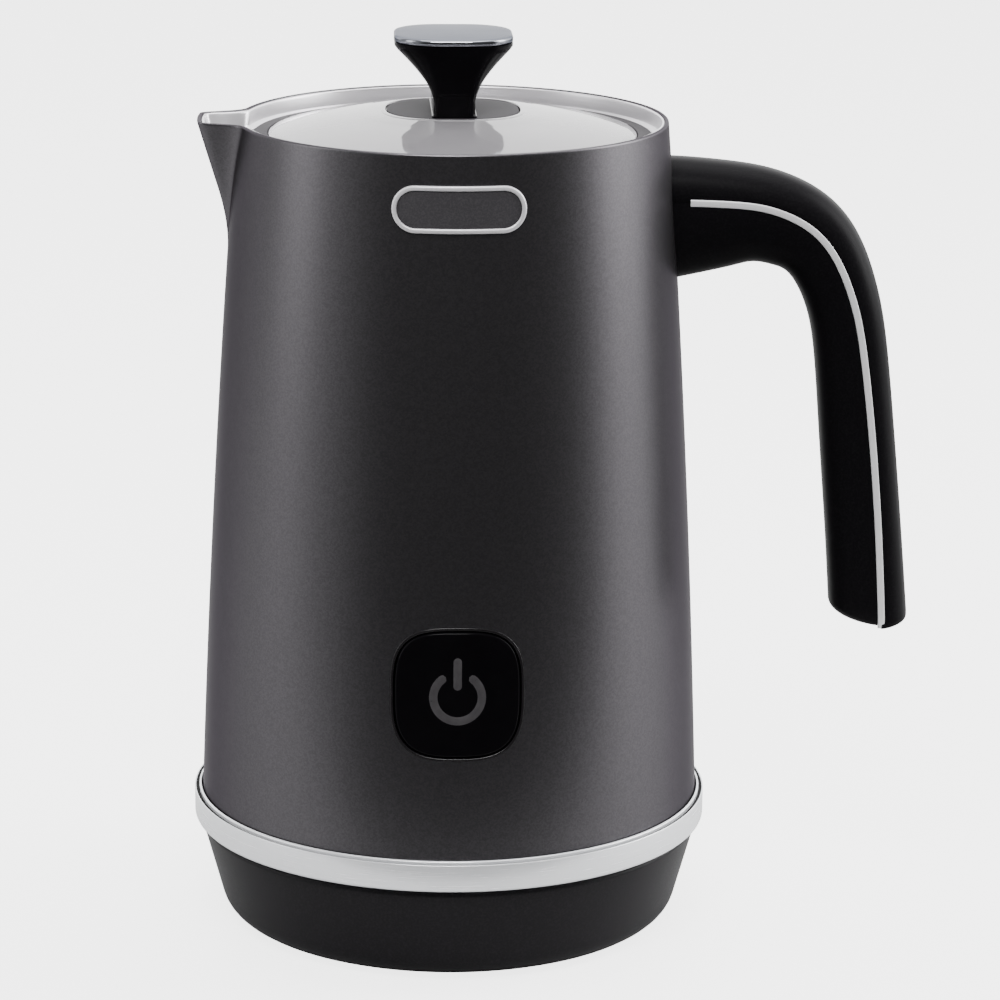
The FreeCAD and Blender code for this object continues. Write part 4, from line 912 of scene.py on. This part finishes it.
@dataclass
class Handle(SubAssembly):
    """Two moulded shells swept along one line, with a bright strip set in each side."""

    half_width: float = 9.5
    strip_width: float = 1.7
    strip_depth: float = 1.2
    end_length: float = 3.2
    inner_end: float = 2.4
    inner_round: float = 5.3
    # Along the strips: x, z, depth of the outer shell and depth of the inner one.  The first
    # station is between the jug's wall and the pot.
    stations: tuple[tuple[float, float, float, float], ...] = (
        (50.3, 177.75, 9.6, 20.0), (56.0, 177.7, 9.4, 19.0), (66.0, 177.3, 8.8, 16.6),
        (75.0, 176.0, 8.3, 14.3), (83.6, 172.2, 8.1, 12.9), (90.4, 165.1, 7.7, 11.4),
        (95.4, 153.7, 7.0, 10.7), (98.4, 139.7, 6.6, 11.0), (101.1, 118.5, 6.3, 11.8),
        (103.2, 95.8, 6.5, 11.9), (104.5, 75.4, 7.1, 11.7))

    @property
    def last(self) -> float:
        """Parameter of the last station."""
        return len(self.stations) - 1.0

    def end_pace(self) -> float:
        """Millimetres of the line for one step of its parameter at the open end."""
        _, slope = spline(np.array(self.stations), np.array([self.last]))
        return float(np.linalg.norm(slope[0, :2]))

    @staticmethod
    def beside(place: np.ndarray, out: np.ndarray, rise: np.ndarray, across: np.ndarray) -> np.ndarray:
        """Points that stand off the line by a rise square to it and by a distance across it."""
        return np.stack([place[:, :1] + out[:, :1] * rise, across, place[:, 1:] + out[:, 1:] * rise], axis=-1)

    def line(self, way: np.ndarray) -> tuple[np.ndarray, np.ndarray, np.ndarray]:
        """Places, outward directions and shell depths along the handle.

        Args:
            way: Parameter along the stations.

        Returns:
            Points (x, z), unit vectors square to the line in that plane, and depths (outer, inner).
        """
        value, slope = spline(np.array(self.stations), way)
        run = slope[:, :2] / np.linalg.norm(slope[:, :2], axis=1, keepdims=True)
        depths, _ = spline(np.array(self.stations)[:, 2:], np.clip(way, 0, self.last))
        return value[:, :2], np.stack([-run[:, 1], run[:, 0]], axis=1), depths

    def shell(self, name: str, side: int, power: float) -> bpy.types.Object:
        """One shell.

        Its section is half a superellipse over the strips' plane: across = w |cos a|^(2/p) and
        rise = depth sin(a)^(2/p), with a small step in at the seam.  At the open end it closes as
        the root of 1 minus a power of the share of the end's length.  The inner shell's end is the
        longer and rounder one, so the grip rises towards the jug.

        Args:
            name: Name of the piece.
            side: +1 for the outside of the bend, -1 for the inside.
            power: Power p of the superellipse.

        Returns:
            The shell as a closed form.
        """
        pace = self.end_pace()
        if side > 0:
            end, reach, end_power = self.end_length, self.end_length, 4.5
        else:
            end, reach, end_power = self.inner_end, self.inner_round, 1.7
        share = np.sin(np.linspace(0, math.pi / 2, 14))
        start = self.last + (end - reach) / pace
        way = np.r_[np.linspace(0, start, 130)[:-1], start + share * reach / pace]
        scale = np.r_[np.ones(129), np.sqrt(np.maximum(1 - share**end_power, 0.0004))][:, None]
        place, out, depths = self.line(way)
        depth = depths[:, :1] if side > 0 else depths[:, 1:]
        a = np.linspace(0, math.pi, 37)[None, :]
        height = np.abs(np.sin(a)) ** (2 / power) * depth * scale
        seam = 1 - 0.028 * np.exp(-((height / 0.22) ** 2))
        half = self.half_width * (0.75 + 0.25 * scale)
        flat = np.linspace(-0.94, 0.94, 7)[None, :] * half
        across = np.hstack([signed_power(np.cos(a), 2 / power) * seam * half, flat])
        height = side * (np.hstack([height, 0 * flat]) + 0.03)
        grid = self.beside(place, out, height, across)
        return skin(name, grid, poles=(True, True), crease=50)

    def strip(self, name: str, side: int) -> bpy.types.Object:
        """One bright strip: a flat bar with rounded edges along the seam.

        It stands 0.12 mm proud and dips into the grip at the open end.

        Args:
            name: Name of the piece.
            side: -1 for the strip in front, +1 for the one behind.

        Returns:
            The strip as a closed form.
        """
        pace = self.end_pace()
        way = np.linspace(1.0, self.last + (self.inner_end + 0.3) / pace, 124)
        place, out, _ = self.line(way)
        section = np.array([[-0.5, 0], [0.5, 0], [0.5, 1], [-0.5, 1]]) * [self.strip_width, self.strip_depth]
        bar = rounded(section, np.full(4, 0.32), 5)
        rise, sink = bar[None, :, 0], bar[None, :, 1]
        tuck = np.clip((way - self.last) * pace / self.inner_end, 0, 1)[:, None] ** 3
        y = side * (self.half_width + 0.12 - 1.1 * tuck - sink)
        grid = self.beside(place, out, rise, y)
        return skin(name, grid, poles=(True, True))

    def build(self) -> None:
        """Both shells and both strips."""
        self.settle(self.shell("handle_outer", 1, 2.3), HANDLE_ABS, "handle_black", ["handle_outer_shell"])
        self.settle(self.shell("handle_inner", -1, 2.6), HANDLE_ABS, "handle_black", ["handle_inner_shell"])
        self.settle(self.strip("handle_strip_front", -1), STRIP_CHROME, "bright_trim", ["handle_strips"])
        self.settle(self.strip("handle_strip_rear", 1), STRIP_CHROME, "bright_trim")


@dataclass
class FrontTrim(SubAssembly):
    """What sits in the front of the jug: button with its bezel and symbol, and the badge."""

    form: JugForm = field(default_factory=JugForm)
    button_z: float = 71.9
    button_size: tuple[float, float] = (29.0, 29.7)
    squareness: float = 3.2
    gap: float = 0.35
    bezel: float = 0.75
    symbol_radius: float = 5.6
    symbol_line: float = 1.95
    badge_z: float = 184.1
    badge_size: tuple[float, float] = (30.6, 10.7)
    badge_line: float = 1.1
    plunger_radius: float = 3.0

    def frame_outline(self) -> np.ndarray:
        """Outer outline of the bezel, which is also the opening in the painted wall."""
        return self.squircle(self.gap + self.bezel)

    def squircle(self, grow: float = 0.0) -> np.ndarray:
        """The button's outline, |x/a|^p + |z/b|^p = 1, grown all round by a distance."""
        angle = np.linspace(0, TAU, 720, endpoint=False)
        power = 2 / self.squareness
        circle = np.stack([np.cos(angle), np.sin(angle)], axis=1)
        flat = evenly(signed_power(circle, power) * np.array(self.button_size) / 2, 176)
        return flat - inward(flat) * grow + np.array([0, self.button_z])

    def moulded(self, name: str, outline: np.ndarray, inset: Sequence[float], height: Sequence[float],
                share: Optional[Sequence[float]] = None) -> bpy.types.Object:
        """A form whose rows are the outline taken in by an inset, laid on the wall at a height.

        Args:
            name: Name of the piece.
            outline: Closed outline in the front view.
            inset: How far each row stands inside the outline.
            height: How far each row stands off the wall.
            share: Scale of each row about the outline's middle; without it the rows form a ring.

        Returns:
            The piece.
        """
        inner = inward(outline)[None]
        rows = outline[None] + inner * np.array(inset, float)[:, None, None]
        middle = outline.mean(axis=0)
        if share is not None:
            rows = middle + (rows - middle) * np.array(share, float)[:, None, None]
        solid = share is not None
        grid = self.form.on_front(rows, np.array(height, float)[:, None])
        return skin(name, grid, loop=not solid, poles=(solid, solid))

    def plate(self, name: str, outline: np.ndarray, top: float, low: float, edge: float) -> bpy.types.Object:
        """A plate with a rounded front edge that follows the wall's curve.

        Args:
            name: Name of the piece.
            outline: Closed outline in the front view.
            top: Height of its face off the wall.
            low: Height of its back.
            edge: Radius of its front edge.

        Returns:
            The plate.
        """
        turn = np.linspace(0, math.pi / 2, 7)
        inset = np.r_[np.full(6, edge), edge * (1 - np.sin(turn)), np.zeros(4)]
        height = np.r_[np.full(6, top), top - edge * (1 - np.cos(turn)), np.full(4, low)]
        share = np.r_[np.linspace(0.04, 1, 7)[:-1], np.ones(7), np.linspace(1, 0.04, 4)]
        return self.moulded(name, outline, inset, height, share)

    def ring(self, name: str, outline: np.ndarray, width: float, top: float, low: float,
             edge: float) -> bpy.types.Object:
        """A ring with both front edges rounded.

        Args:
            name: Name of the piece.
            outline: Its outer outline in the front view.
            width: Width of the ring.
            top: Height of its face off the wall.
            low: Height of its back.
            edge: Radius of its front edges.

        Returns:
            The ring.
        """
        turn = np.linspace(0, math.pi / 2, 6)
        aside = edge * (1 - np.cos(turn))
        drop = edge * (1 - np.sin(turn))
        inset = np.r_[0, aside, width - aside[::-1], width]
        height = np.r_[low, top - drop, top - drop[::-1], low]
        return self.moulded(name, outline, inset, height)

    def stroke(self, name: str, path: np.ndarray, top: float) -> bpy.types.Object:
        """A raised line of the symbol with round ends.

        Its half width near an end is the root of 1 minus the square of the share of the half width
        still to go, which draws a half circle.

        Args:
            name: Name of the piece.
            path: Middle of the line in the front view, shape (n, 2).
            top: Height of its face off the wall.

        Returns:
            The piece.
        """
        half = self.symbol_line / 2
        run = np.gradient(path, axis=0)
        length = np.linalg.norm(run, axis=1)
        run /= length[:, None]
        along = np.r_[0, np.cumsum(np.linalg.norm(np.diff(path, axis=0), axis=1))]
        togo = np.clip(np.minimum(along, along[-1] - along) / half, 0, 1)
        width = half * np.sqrt(np.maximum(1 - (1 - togo) ** 2, 0.0009))
        across = np.stack([-run[:, 1], run[:, 0]], axis=1) * width[:, None]
        section = np.array([
            [-1, -0.3], [-1, -0.03], [-0.86, 0], [0, 0.01], [0.86, 0], [1, -0.03], [1, -0.3], [0, -0.3]])
        rows = path[:, None, :] + across[:, None, :] * section[None, :, :1]
        return skin(name, self.form.on_front(rows, top + section[None, :, 1]), poles=(True, True))

    def build_button(self) -> None:
        """Bezel, button cap, the power symbol and the plunger behind the cap."""
        bezel = self.ring("button_bezel_ring", self.frame_outline(), self.bezel, 0.08, -4.3, 0.25)
        self.settle(bezel, BEZEL_ABS, "bezel_black", ["button_bezel"])
        cap = self.plate("button_cap", self.squircle(), 0.2, -2.6, 0.6)
        self.settle(cap, GLOSS_ABS, "gloss_black", ["power_button"], body="button")
        centre_z = self.button_z - 0.5
        symbol_top, gap_angle = 0.23, 29
        turn = np.radians(np.linspace(90 + gap_angle, 450 - gap_angle, 90))
        across, up = self.symbol_radius * np.cos(turn), self.symbol_radius * np.sin(turn)
        arc = np.stack([across, centre_z + up], axis=1)
        bar = np.stack([np.zeros(40), np.linspace(centre_z + 1.7, centre_z + 9.4, 40)], axis=1)
        symbol = self.stroke("power_symbol_arc", arc, symbol_top)
        self.settle(symbol, ICON_WINDOW, "icon_grey", ["power_icon"], body="button")
        self.settle(self.stroke("power_symbol_bar", bar, symbol_top), ICON_WINDOW, "icon_grey", body="button")
        disc = hoop(self.plunger_radius, self.button_z, 40)
        rows = np.stack([disc - [0, 56.6, 0], disc - [0, 50.6, 0], disc * [0.85, 1, 1] - [0, 50.4, 0]])
        plunger = skin("button_plunger", rows, poles=(True, True))
        self.settle(plunger, GLOSS_ABS, "gloss_black", body="button")

    def build_badge(self) -> None:
        """The badge's raised border and its blank field."""
        width, height = self.badge_size
        middle = np.array([0, self.badge_z])
        line, back = self.badge_line, -0.2
        outer = box_outline(width, height, height / 2 - 0.02) + middle
        border = self.ring("badge_border", outer, line, 0.75, back, 0.35)
        self.settle(border, BADGE_PLATE, "satin_steel_trim", ["badge_frame"])
        inner = box_outline(width - 2 * line + 0.3, height - 2 * line + 0.3, height / 2 - line + 0.1) + middle
        plate = self.plate("badge_field", inner, 0.35, back, 0.05)
        self.settle(plate, BADGE_FIELD, "badge_field", ["badge_plate"])

    def build(self) -> None:
        """Button first, then the badge."""
        self.build_button()
        self.build_badge()


@dataclass
class Lid(SubAssembly):
    """The lid: a shallow dome with a skirt, its seal, and the dark disc under the knob."""

    body: str = "lid"
    edge: float = 43.8
    dome_radius: float = 160.0
    dome_top: float = 199.38
    skirt_z: float = 187.0
    disc: float = 15.6
    disc_top: float = 198.6
    squareness: float = 2.5

    def dome_z(self, radius: np.ndarray) -> np.ndarray:
        """Height of the dome at a radius, on a sphere."""
        return self.dome_top - self.dome_radius + np.sqrt(self.dome_radius**2 - radius**2)

    def dome(self) -> bpy.types.Object:
        """The moulded dome: over the top on the sphere, a small round, and down the skirt."""
        top = np.linspace(self.disc + 1.8, self.edge - 1.1, 26)
        rim_z = float(self.dome_z(np.array(self.edge)))
        turn = np.linspace(0.28, math.pi / 2, 8)
        rim = np.stack([self.edge - 1.0 + np.sin(turn), rim_z - 0.95 + np.cos(turn)], axis=1)
        bead = self.disc + 0.95 + 0.6 * np.cos(np.linspace(math.pi, 0, 9))
        crown = self.dome_z(bead) + 0.16 * np.sin(np.linspace(0, math.pi, 9))
        lip = np.vstack([[[0.2, 196.9], [self.disc + 0.3, 196.9], [self.disc + 0.3, 198.2]],
                         np.stack([bead, crown], axis=1)])
        under = np.array([[self.edge, self.skirt_z + 0.5], [self.edge - 0.5, self.skirt_z],
                          [self.edge - 1.8, self.skirt_z], [self.edge - 2.2, self.skirt_z + 0.4],
                          [self.edge - 2.2, rim_z - 2.6], [self.edge - 3.2, rim_z - 1.9], [18.5, 196.0],
                          [17.0, 194.9], [0.2, 194.9]])
        outline = np.vstack([lip, np.stack([top, self.dome_z(top)], axis=1), rim, under])
        return skin("lid_dome_shell", self.squared(outline, 240), poles=(True, True), crease=35)

    def squared(self, outline: np.ndarray, turns: int) -> np.ndarray:
        """An outline taken round the axis on soft squares, |x|^p + |y|^p = r^p, near the disc.

        The squareness is whole up to the disc's bead and fades out over the next 6 mm.

        Args:
            outline: Radius and height of each row, shape (n, 2).
            turns: Columns round the axis.

        Returns:
            Points, shape (n, turns, 3).
        """
        angle = np.linspace(0, TAU, turns, endpoint=False)
        radius, z = outline[:, :1], outline[:, 1:]
        power = self.squareness
        square = (np.abs(np.cos(angle)) ** power + np.abs(np.sin(angle)) ** power) ** (-1 / power)
        share = np.clip((self.disc + 7.6 - radius) / 6, 0, 1)
        return revolved(radius * (1 + (square - 1) * share), z, angle)

    def disc_plate(self) -> bpy.types.Object:
        """The dark disc with its soft square plan and a rounded top edge."""
        turn = np.linspace(0, math.pi / 2, 6)
        edge = np.stack([
            self.disc - 0.3 + 0.3 * np.cos(turn), self.disc_top - 0.3 + 0.3 * np.sin(turn)], axis=1)
        low = np.array([[0.2, 196.95], [self.disc - 0.5, 196.95], [self.disc, 197.3]])
        top = np.stack([np.linspace(self.disc - 1.5, 0.2, 6), np.full(6, self.disc_top)], axis=1)
        return skin("lid_disc_plate", self.squared(np.vstack([low, edge, top]), 160), poles=(True, True))

    def build(self) -> None:
        """Dome, seal and disc."""
        self.settle(self.dome(), LID_PLASTIC, "lid_translucent", ["lid_dome"])
        seal = turned("lid_seal_ring", [
            (self.edge, 187.6, 0.2), (47.3, 187.6, 0.3), (47.3, 188.5, 0.3), (45.2, 189.0, 0.4),
            (45.2, 191.0, 0.4), (47.4, 191.6, 0.3), (47.4, 192.75, 0.4), (self.edge, 193.1, 0.2)])
        self.settle(seal, SILICONE, "seal_rubber", ["lid_seal"])
        self.settle(self.disc_plate(), DISC_PLASTIC, "disc_grey", ["lid_disc"])


@dataclass
class Knob(SubAssembly):
    """The knob: a blade that flares to a square rim, with a bright cap let into its top."""

    body: str = "lid"
    half_width: float = 13.95
    half_depth: float = 14.3
    corner: float = 10.5
    low_z: float = 198.62
    rim_z: float = 215.2
    cap_z: float = 216.75
    waist_corner: float = 1.6
    cap_edge: float = 0.55
    # Height over the disc and half width of the blade.
    flare: tuple[tuple[float, float], ...] = (
        (0.0, 5.3), (0.35, 5.22), (0.8, 4.9), (2.6, 4.85), (4.4, 4.95), (6.9, 5.95), (8.9, 7.3), (10.8, 8.95),
        (12.6, 10.75), (14.2, 12.5), (15.0, 13.35), (15.7, 13.9))

    def post(self) -> bpy.types.Object:
        """The blade.

        Each level is a rounded rectangle.  Its half width follows a spline through the flare, and
        its corner radius grows from 1.6 mm at the waist to the rim's as the half width grows.

        Returns:
            The post as a closed form.
        """
        table = np.array(self.flare)
        level, _ = spline(table, np.linspace(0, len(table) - 1, 78))
        z = np.r_[self.low_z + level[:, 0], self.rim_z - 0.35, self.rim_z - 0.1, self.rim_z]
        half = np.r_[np.minimum(level[:, 1], self.half_width), self.half_width + np.array([0, 0, -0.15])]
        share = np.clip((half - 5.2) / (self.half_width - 5.2), 0, 1)
        corner = self.waist_corner + (self.corner - self.waist_corner) * share**0.8
        depth = self.half_depth - 0.12 * (half < 5.2) - np.r_[np.zeros(len(half) - 1), 0.15]
        signs = np.array([[-1, -1], [1, -1], [1, 1], [-1, 1]], float)
        corners = signs[None] * np.stack([half, depth], axis=1)[:, None, :]
        plan = rounded(corners, corner[:, None] + np.zeros(4), 14)
        grid = np.concatenate([plan, z[:, None, None] + 0 * plan[..., :1]], axis=-1)
        return skin("knob_blade", grid, poles=(True, True))

    def cap(self) -> bpy.types.Object:
        """The cap: a rounded square plate with a soft edge and a slightly crowned top."""
        outline = box_outline(2 * self.half_width, 2 * self.half_depth, self.corner, 144)
        inner = inward(outline)[None]
        turn = np.linspace(0, math.pi / 2, 7)
        inset = np.r_[0.25, 0.0, self.cap_edge * (1 - np.cos(turn)), np.full(8, self.cap_edge)]
        share = np.r_[np.ones(9), np.linspace(0.9, 0.04, 8)]
        edge_z = self.cap_z - self.cap_edge * (1 - np.sin(turn))
        crown = self.cap_z + 0.14 * (1 - share[9:] ** 2)
        z = np.r_[self.rim_z + 0.12, self.rim_z + 0.35, edge_z, crown]
        plan = (outline[None] + inner * inset[:, None, None]) * share[:, None, None]
        grid = np.concatenate([plan, z[:, None, None] + 0 * plan[..., :1]], axis=-1)
        return skin("knob_bright_cap", grid, poles=(True, True), crease=50)

    def build(self) -> None:
        """Post and cap."""
        self.settle(self.post(), GLOSS_ABS, "gloss_black", ["knob_post"])
        self.settle(self.cap(), POLISHED_CHROME, "knob_chrome", ["knob_cap"])


@dataclass
class Whisk(SubAssembly):
    """The whisk's wound coil, a spring bent into a ring round the frame's wire."""

    body: str = "whisk"
    ring: float = 19.0
    coil: float = 2.32
    wire: float = 0.36
    windings: int = 44
    level: float = 107.25

    def build(self) -> None:
        """A tube along a wound ring.

        The line's radius is the ring's plus the coil's times the cosine of the winding angle, and
        its height the coil's times the sine.  The tube's section stands square to the line.
        """
        u = np.linspace(0, TAU, self.windings * 16, endpoint=False)
        w = self.windings * u
        flat = np.stack([np.cos(u), np.sin(u), 0 * u], axis=1)
        up = np.array([0.0, 0.0, 1.0])
        out = flat * np.cos(w)[:, None] + up * np.sin(w)[:, None]
        line = flat * self.ring + out * self.coil + up * self.level
        run = np.roll(line, -1, axis=0) - np.roll(line, 1, axis=0)
        run /= np.linalg.norm(run, axis=1, keepdims=True)
        out -= run * (out * run).sum(axis=1, keepdims=True)
        out /= np.linalg.norm(out, axis=1, keepdims=True)
        side = np.cross(run, out)
        a = np.linspace(0, TAU, 8, endpoint=False)[None, :, None]
        grid = line[:, None] + self.wire * (out[:, None] * np.cos(a) + side[:, None] * np.sin(a))
        self.settle(skin("whisk_spring", grid, loop=True), DRAWN_WIRE, "whisk_steel", ["whisk_coil"])


@dataclass
class Works(SubAssembly):
    """The CAD nodes whose shape is right as it is, and that only need their finish."""

    nodes: dict[str, bpy.types.Object] = field(default_factory=dict)

    def finishes(self) -> dict[Finish, tuple[str, ...]]:
        """Which finish each node has."""
        return {
            MATT_PP: ("base_bottom_plate", "base_connector_cup", "cord_clamp", "jug_bottom_cover",
                      "jug_socket", "motor_chassis"),
            RUBBER: ("rubber_foot_ring", "cord_gland"),
            TOWER_NYLON: ("connector_tower",),
            BRASS: ("connector_pin", "base_terminals", "temperature_sensor", "thermal_cutout"),
            ZINC_STEEL: ("base_screws", "cover_screws", "motor_screws", "handle_screws", "knob_screws",
                         "handle_bracket", "motor_can", "motor_shaft"),
            SPUN_STEEL: ("pot_spindle",),
            DRAWN_WIRE: ("whisk_frame",),
            MOTOR_IRON: ("motor_armature", "field_magnets"),
            MAGNET_NICKEL: ("drive_magnets", "whisk_magnets"),
            HUB_NYLON: ("magnet_holder", "whisk_hub"),
            PRESSED_ALUMINIUM: ("heater_plate",),
            ELEMENT_STEEL: ("heating_element",),
            BOARD: ("control_board",),
            COMPONENT: ("tact_switch", "relay", "capacitor"),
            LED_LENS: ("indicator_leds",),
        }

    def build(self) -> None:
        """Dresses every node that no new piece stands for."""
        for finish, names in self.finishes().items():
            for name in names:
                self.wardrobe.dress(self.nodes[name], finish)
                LOG.info("%s: as in the CAD part, %s", name, finish.name)


# ------------------------------------------------------------------------------ studio
@dataclass
class Studio:
    """A pale table, soft light from behind, above and the sides, and the camera."""

    camera_place: tuple[float, float, float] = (-30.05, -962.12, 356.04)
    pitch: float = 0.257
    yaw_degrees: float = -2.5
    roll_degrees: float = 0.5
    lens: float = 147.9
    # name, place and size in metres, power in watts
    lamps: tuple[tuple[str, tuple[float, float, float], tuple[float, float], float], ...] = (
        ("top_box", (0.1, 0.25, 1.3), (1.0, 0.8), 14.0),
        ("right_box", (0.97, 0.1, 0.6), (0.5, 0.9), 13.0),
        ("left_box", (-1.0, -0.1, 0.5), (0.4, 0.9), 3.5),
        ("front_box", (-0.15, -0.95, 1.35), (0.7, 0.4), 24.0))

    def table(self) -> None:
        """A flat pale table that starts a hand's width in front of the object."""
        x = np.linspace(-2200, 2200, 3)
        y = np.linspace(-135, 3600, 3)
        grid = np.stack(np.meshgrid(x, y) + [np.zeros((3, 3))], axis=-1)
        top = skin("table_top", grid, ring=False)
        material = bpy.data.materials.new("backlit_white_acrylic")
        material.use_nodes = True
        shader = material.node_tree.nodes["Principled BSDF"]
        seen = add_node(material.node_tree, "ShaderNodeLightPath").outputs["Is Camera Ray"]
        glow = add_node(material.node_tree, "ShaderNodeMath", {0: seen, 1: 3.4}, operation="MULTIPLY")
        material.node_tree.links.new(glow.outputs[0], shader.inputs["Emission Strength"])
        shader.inputs["Emission Color"].default_value = linear("#ffffff")
        shader.inputs["Base Color"].default_value = linear("#b8b8b8")
        shader.inputs["Roughness"].default_value = 0.6
        shader.inputs["Specular IOR Level"].default_value = 0.15
        top.data.materials.append(material)

    def sky(self) -> None:
        """Soft light: white behind and above, grey at the sides and dim in front."""
        world = bpy.data.worlds.new("soft_studio")
        world.use_nodes = True
        tree = world.node_tree
        way = add_node(tree, "ShaderNodeTexCoord").outputs["Generated"]
        parts = add_node(tree, "ShaderNodeSeparateXYZ", {0: way}).outputs

        def span(socket: bpy.types.NodeSocket, start: float, stop: float, low: float,
                 high: float) -> bpy.types.NodeSocket:
            """A smooth step of a direction's part."""
            return add_node(tree, "ShaderNodeMapRange", {0: socket, 1: start, 2: stop, 3: low, 4: high},
                            interpolation_type="SMOOTHSTEP").outputs[0]

        back = span(parts[1], 0.15, 0.85, 0.0, 2.6)
        above = span(parts[2], 0.3, 0.9, 0.0, 0.6)
        aside = add_node(tree, "ShaderNodeVectorMath", {0: way, 1: (0.88, 0.47, 0.1)},
                         operation="DOT_PRODUCT")
        right = span(aside.outputs["Value"], 0.62, 0.98, 0.0, 3.4)
        left = span(parts[0], -0.97, -0.6, 0.62, 0.0)
        total = back
        for part in (above, right, left):
            total = add_node(tree, "ShaderNodeMath", {0: total, 1: part}, operation="MAXIMUM").outputs[0]
        total = add_node(tree, "ShaderNodeMath", {0: total, 1: 0.12}, operation="ADD").outputs[0]
        seen = add_node(tree, "ShaderNodeLightPath").outputs["Is Camera Ray"]
        strength = add_node(tree, "ShaderNodeMix", {0: seen, 2: total, 3: 9.0}, data_type="FLOAT").outputs[0]
        background = tree.nodes["Background"]
        tree.links.new(strength, background.inputs["Strength"])
        background.inputs["Color"].default_value = (1, 1, 1, 1)
        bpy.context.scene.world = world

    def lamp(self, name: str, place: tuple[float, float, float], size: tuple[float, float],
             power: float) -> None:
        """A soft box aimed at the middle of the object.

        Args:
            name: Name of the lamp.
            place: Its place, in metres.
            size: Its width and height, in metres.
            power: Its power, in watts.
        """
        data = bpy.data.lights.new(name, "AREA")
        data.shape = "RECTANGLE"
        data.size, data.size_y = size
        data.energy = power
        lamp = bpy.data.objects.new(name, data)
        lamp.location = place
        aim = np.array([0.0, 0.0, 0.11]) - np.array(place)
        lamp.rotation_mode = "QUATERNION"
        lamp.rotation_quaternion = Vector(aim.tolist()).to_track_quat("-Z", "Y")
        bpy.context.scene.collection.objects.link(lamp)

    def camera(self) -> None:
        """The camera, a little above the object and rolled half a degree."""
        data = bpy.data.cameras.new("camera")
        data.lens = self.lens
        data.sensor_width = 36.0
        data.clip_start, data.clip_end = 0.02, 30.0
        camera = bpy.data.objects.new("camera", data)
        camera.location = [v * MM for v in self.camera_place]
        aim = Euler((math.pi / 2 - self.pitch, 0.0, math.radians(self.yaw_degrees))).to_matrix()
        camera.rotation_euler = (aim @ Matrix.Rotation(math.radians(self.roll_degrees), 3, "Z")).to_euler()
        bpy.context.scene.collection.objects.link(camera)
        bpy.context.scene.camera = camera

    def build(self) -> None:
        """Table, light and camera."""
        self.camera()
        self.table()
        self.sky()
        for name, place, size, power in self.lamps:
            self.lamp(name, place, size, power)


def main() -> None:
    """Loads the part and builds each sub-assembly in order."""
    logging.basicConfig(level=logging.INFO, format="%(name)s: %(message)s")
    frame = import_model()
    Studio().build()
    wardrobe = Wardrobe()
    form = JugForm()
    trim = FrontTrim(wardrobe, form=form)
    groups: list[SubAssembly] = [
        PaintedJug(wardrobe, form=form, seat=trim.frame_outline()),
        SteelPot(wardrobe, form=form),
        FootBand(wardrobe),
        PowerBase(wardrobe),
        Handle(wardrobe),
        trim,
        Lid(wardrobe),
        Knob(wardrobe),
        Whisk(wardrobe),
        Works(wardrobe, nodes=frame["nodes"]),
    ]
    for group in groups:
        group.build()


if __name__ == "__main__":
    main()
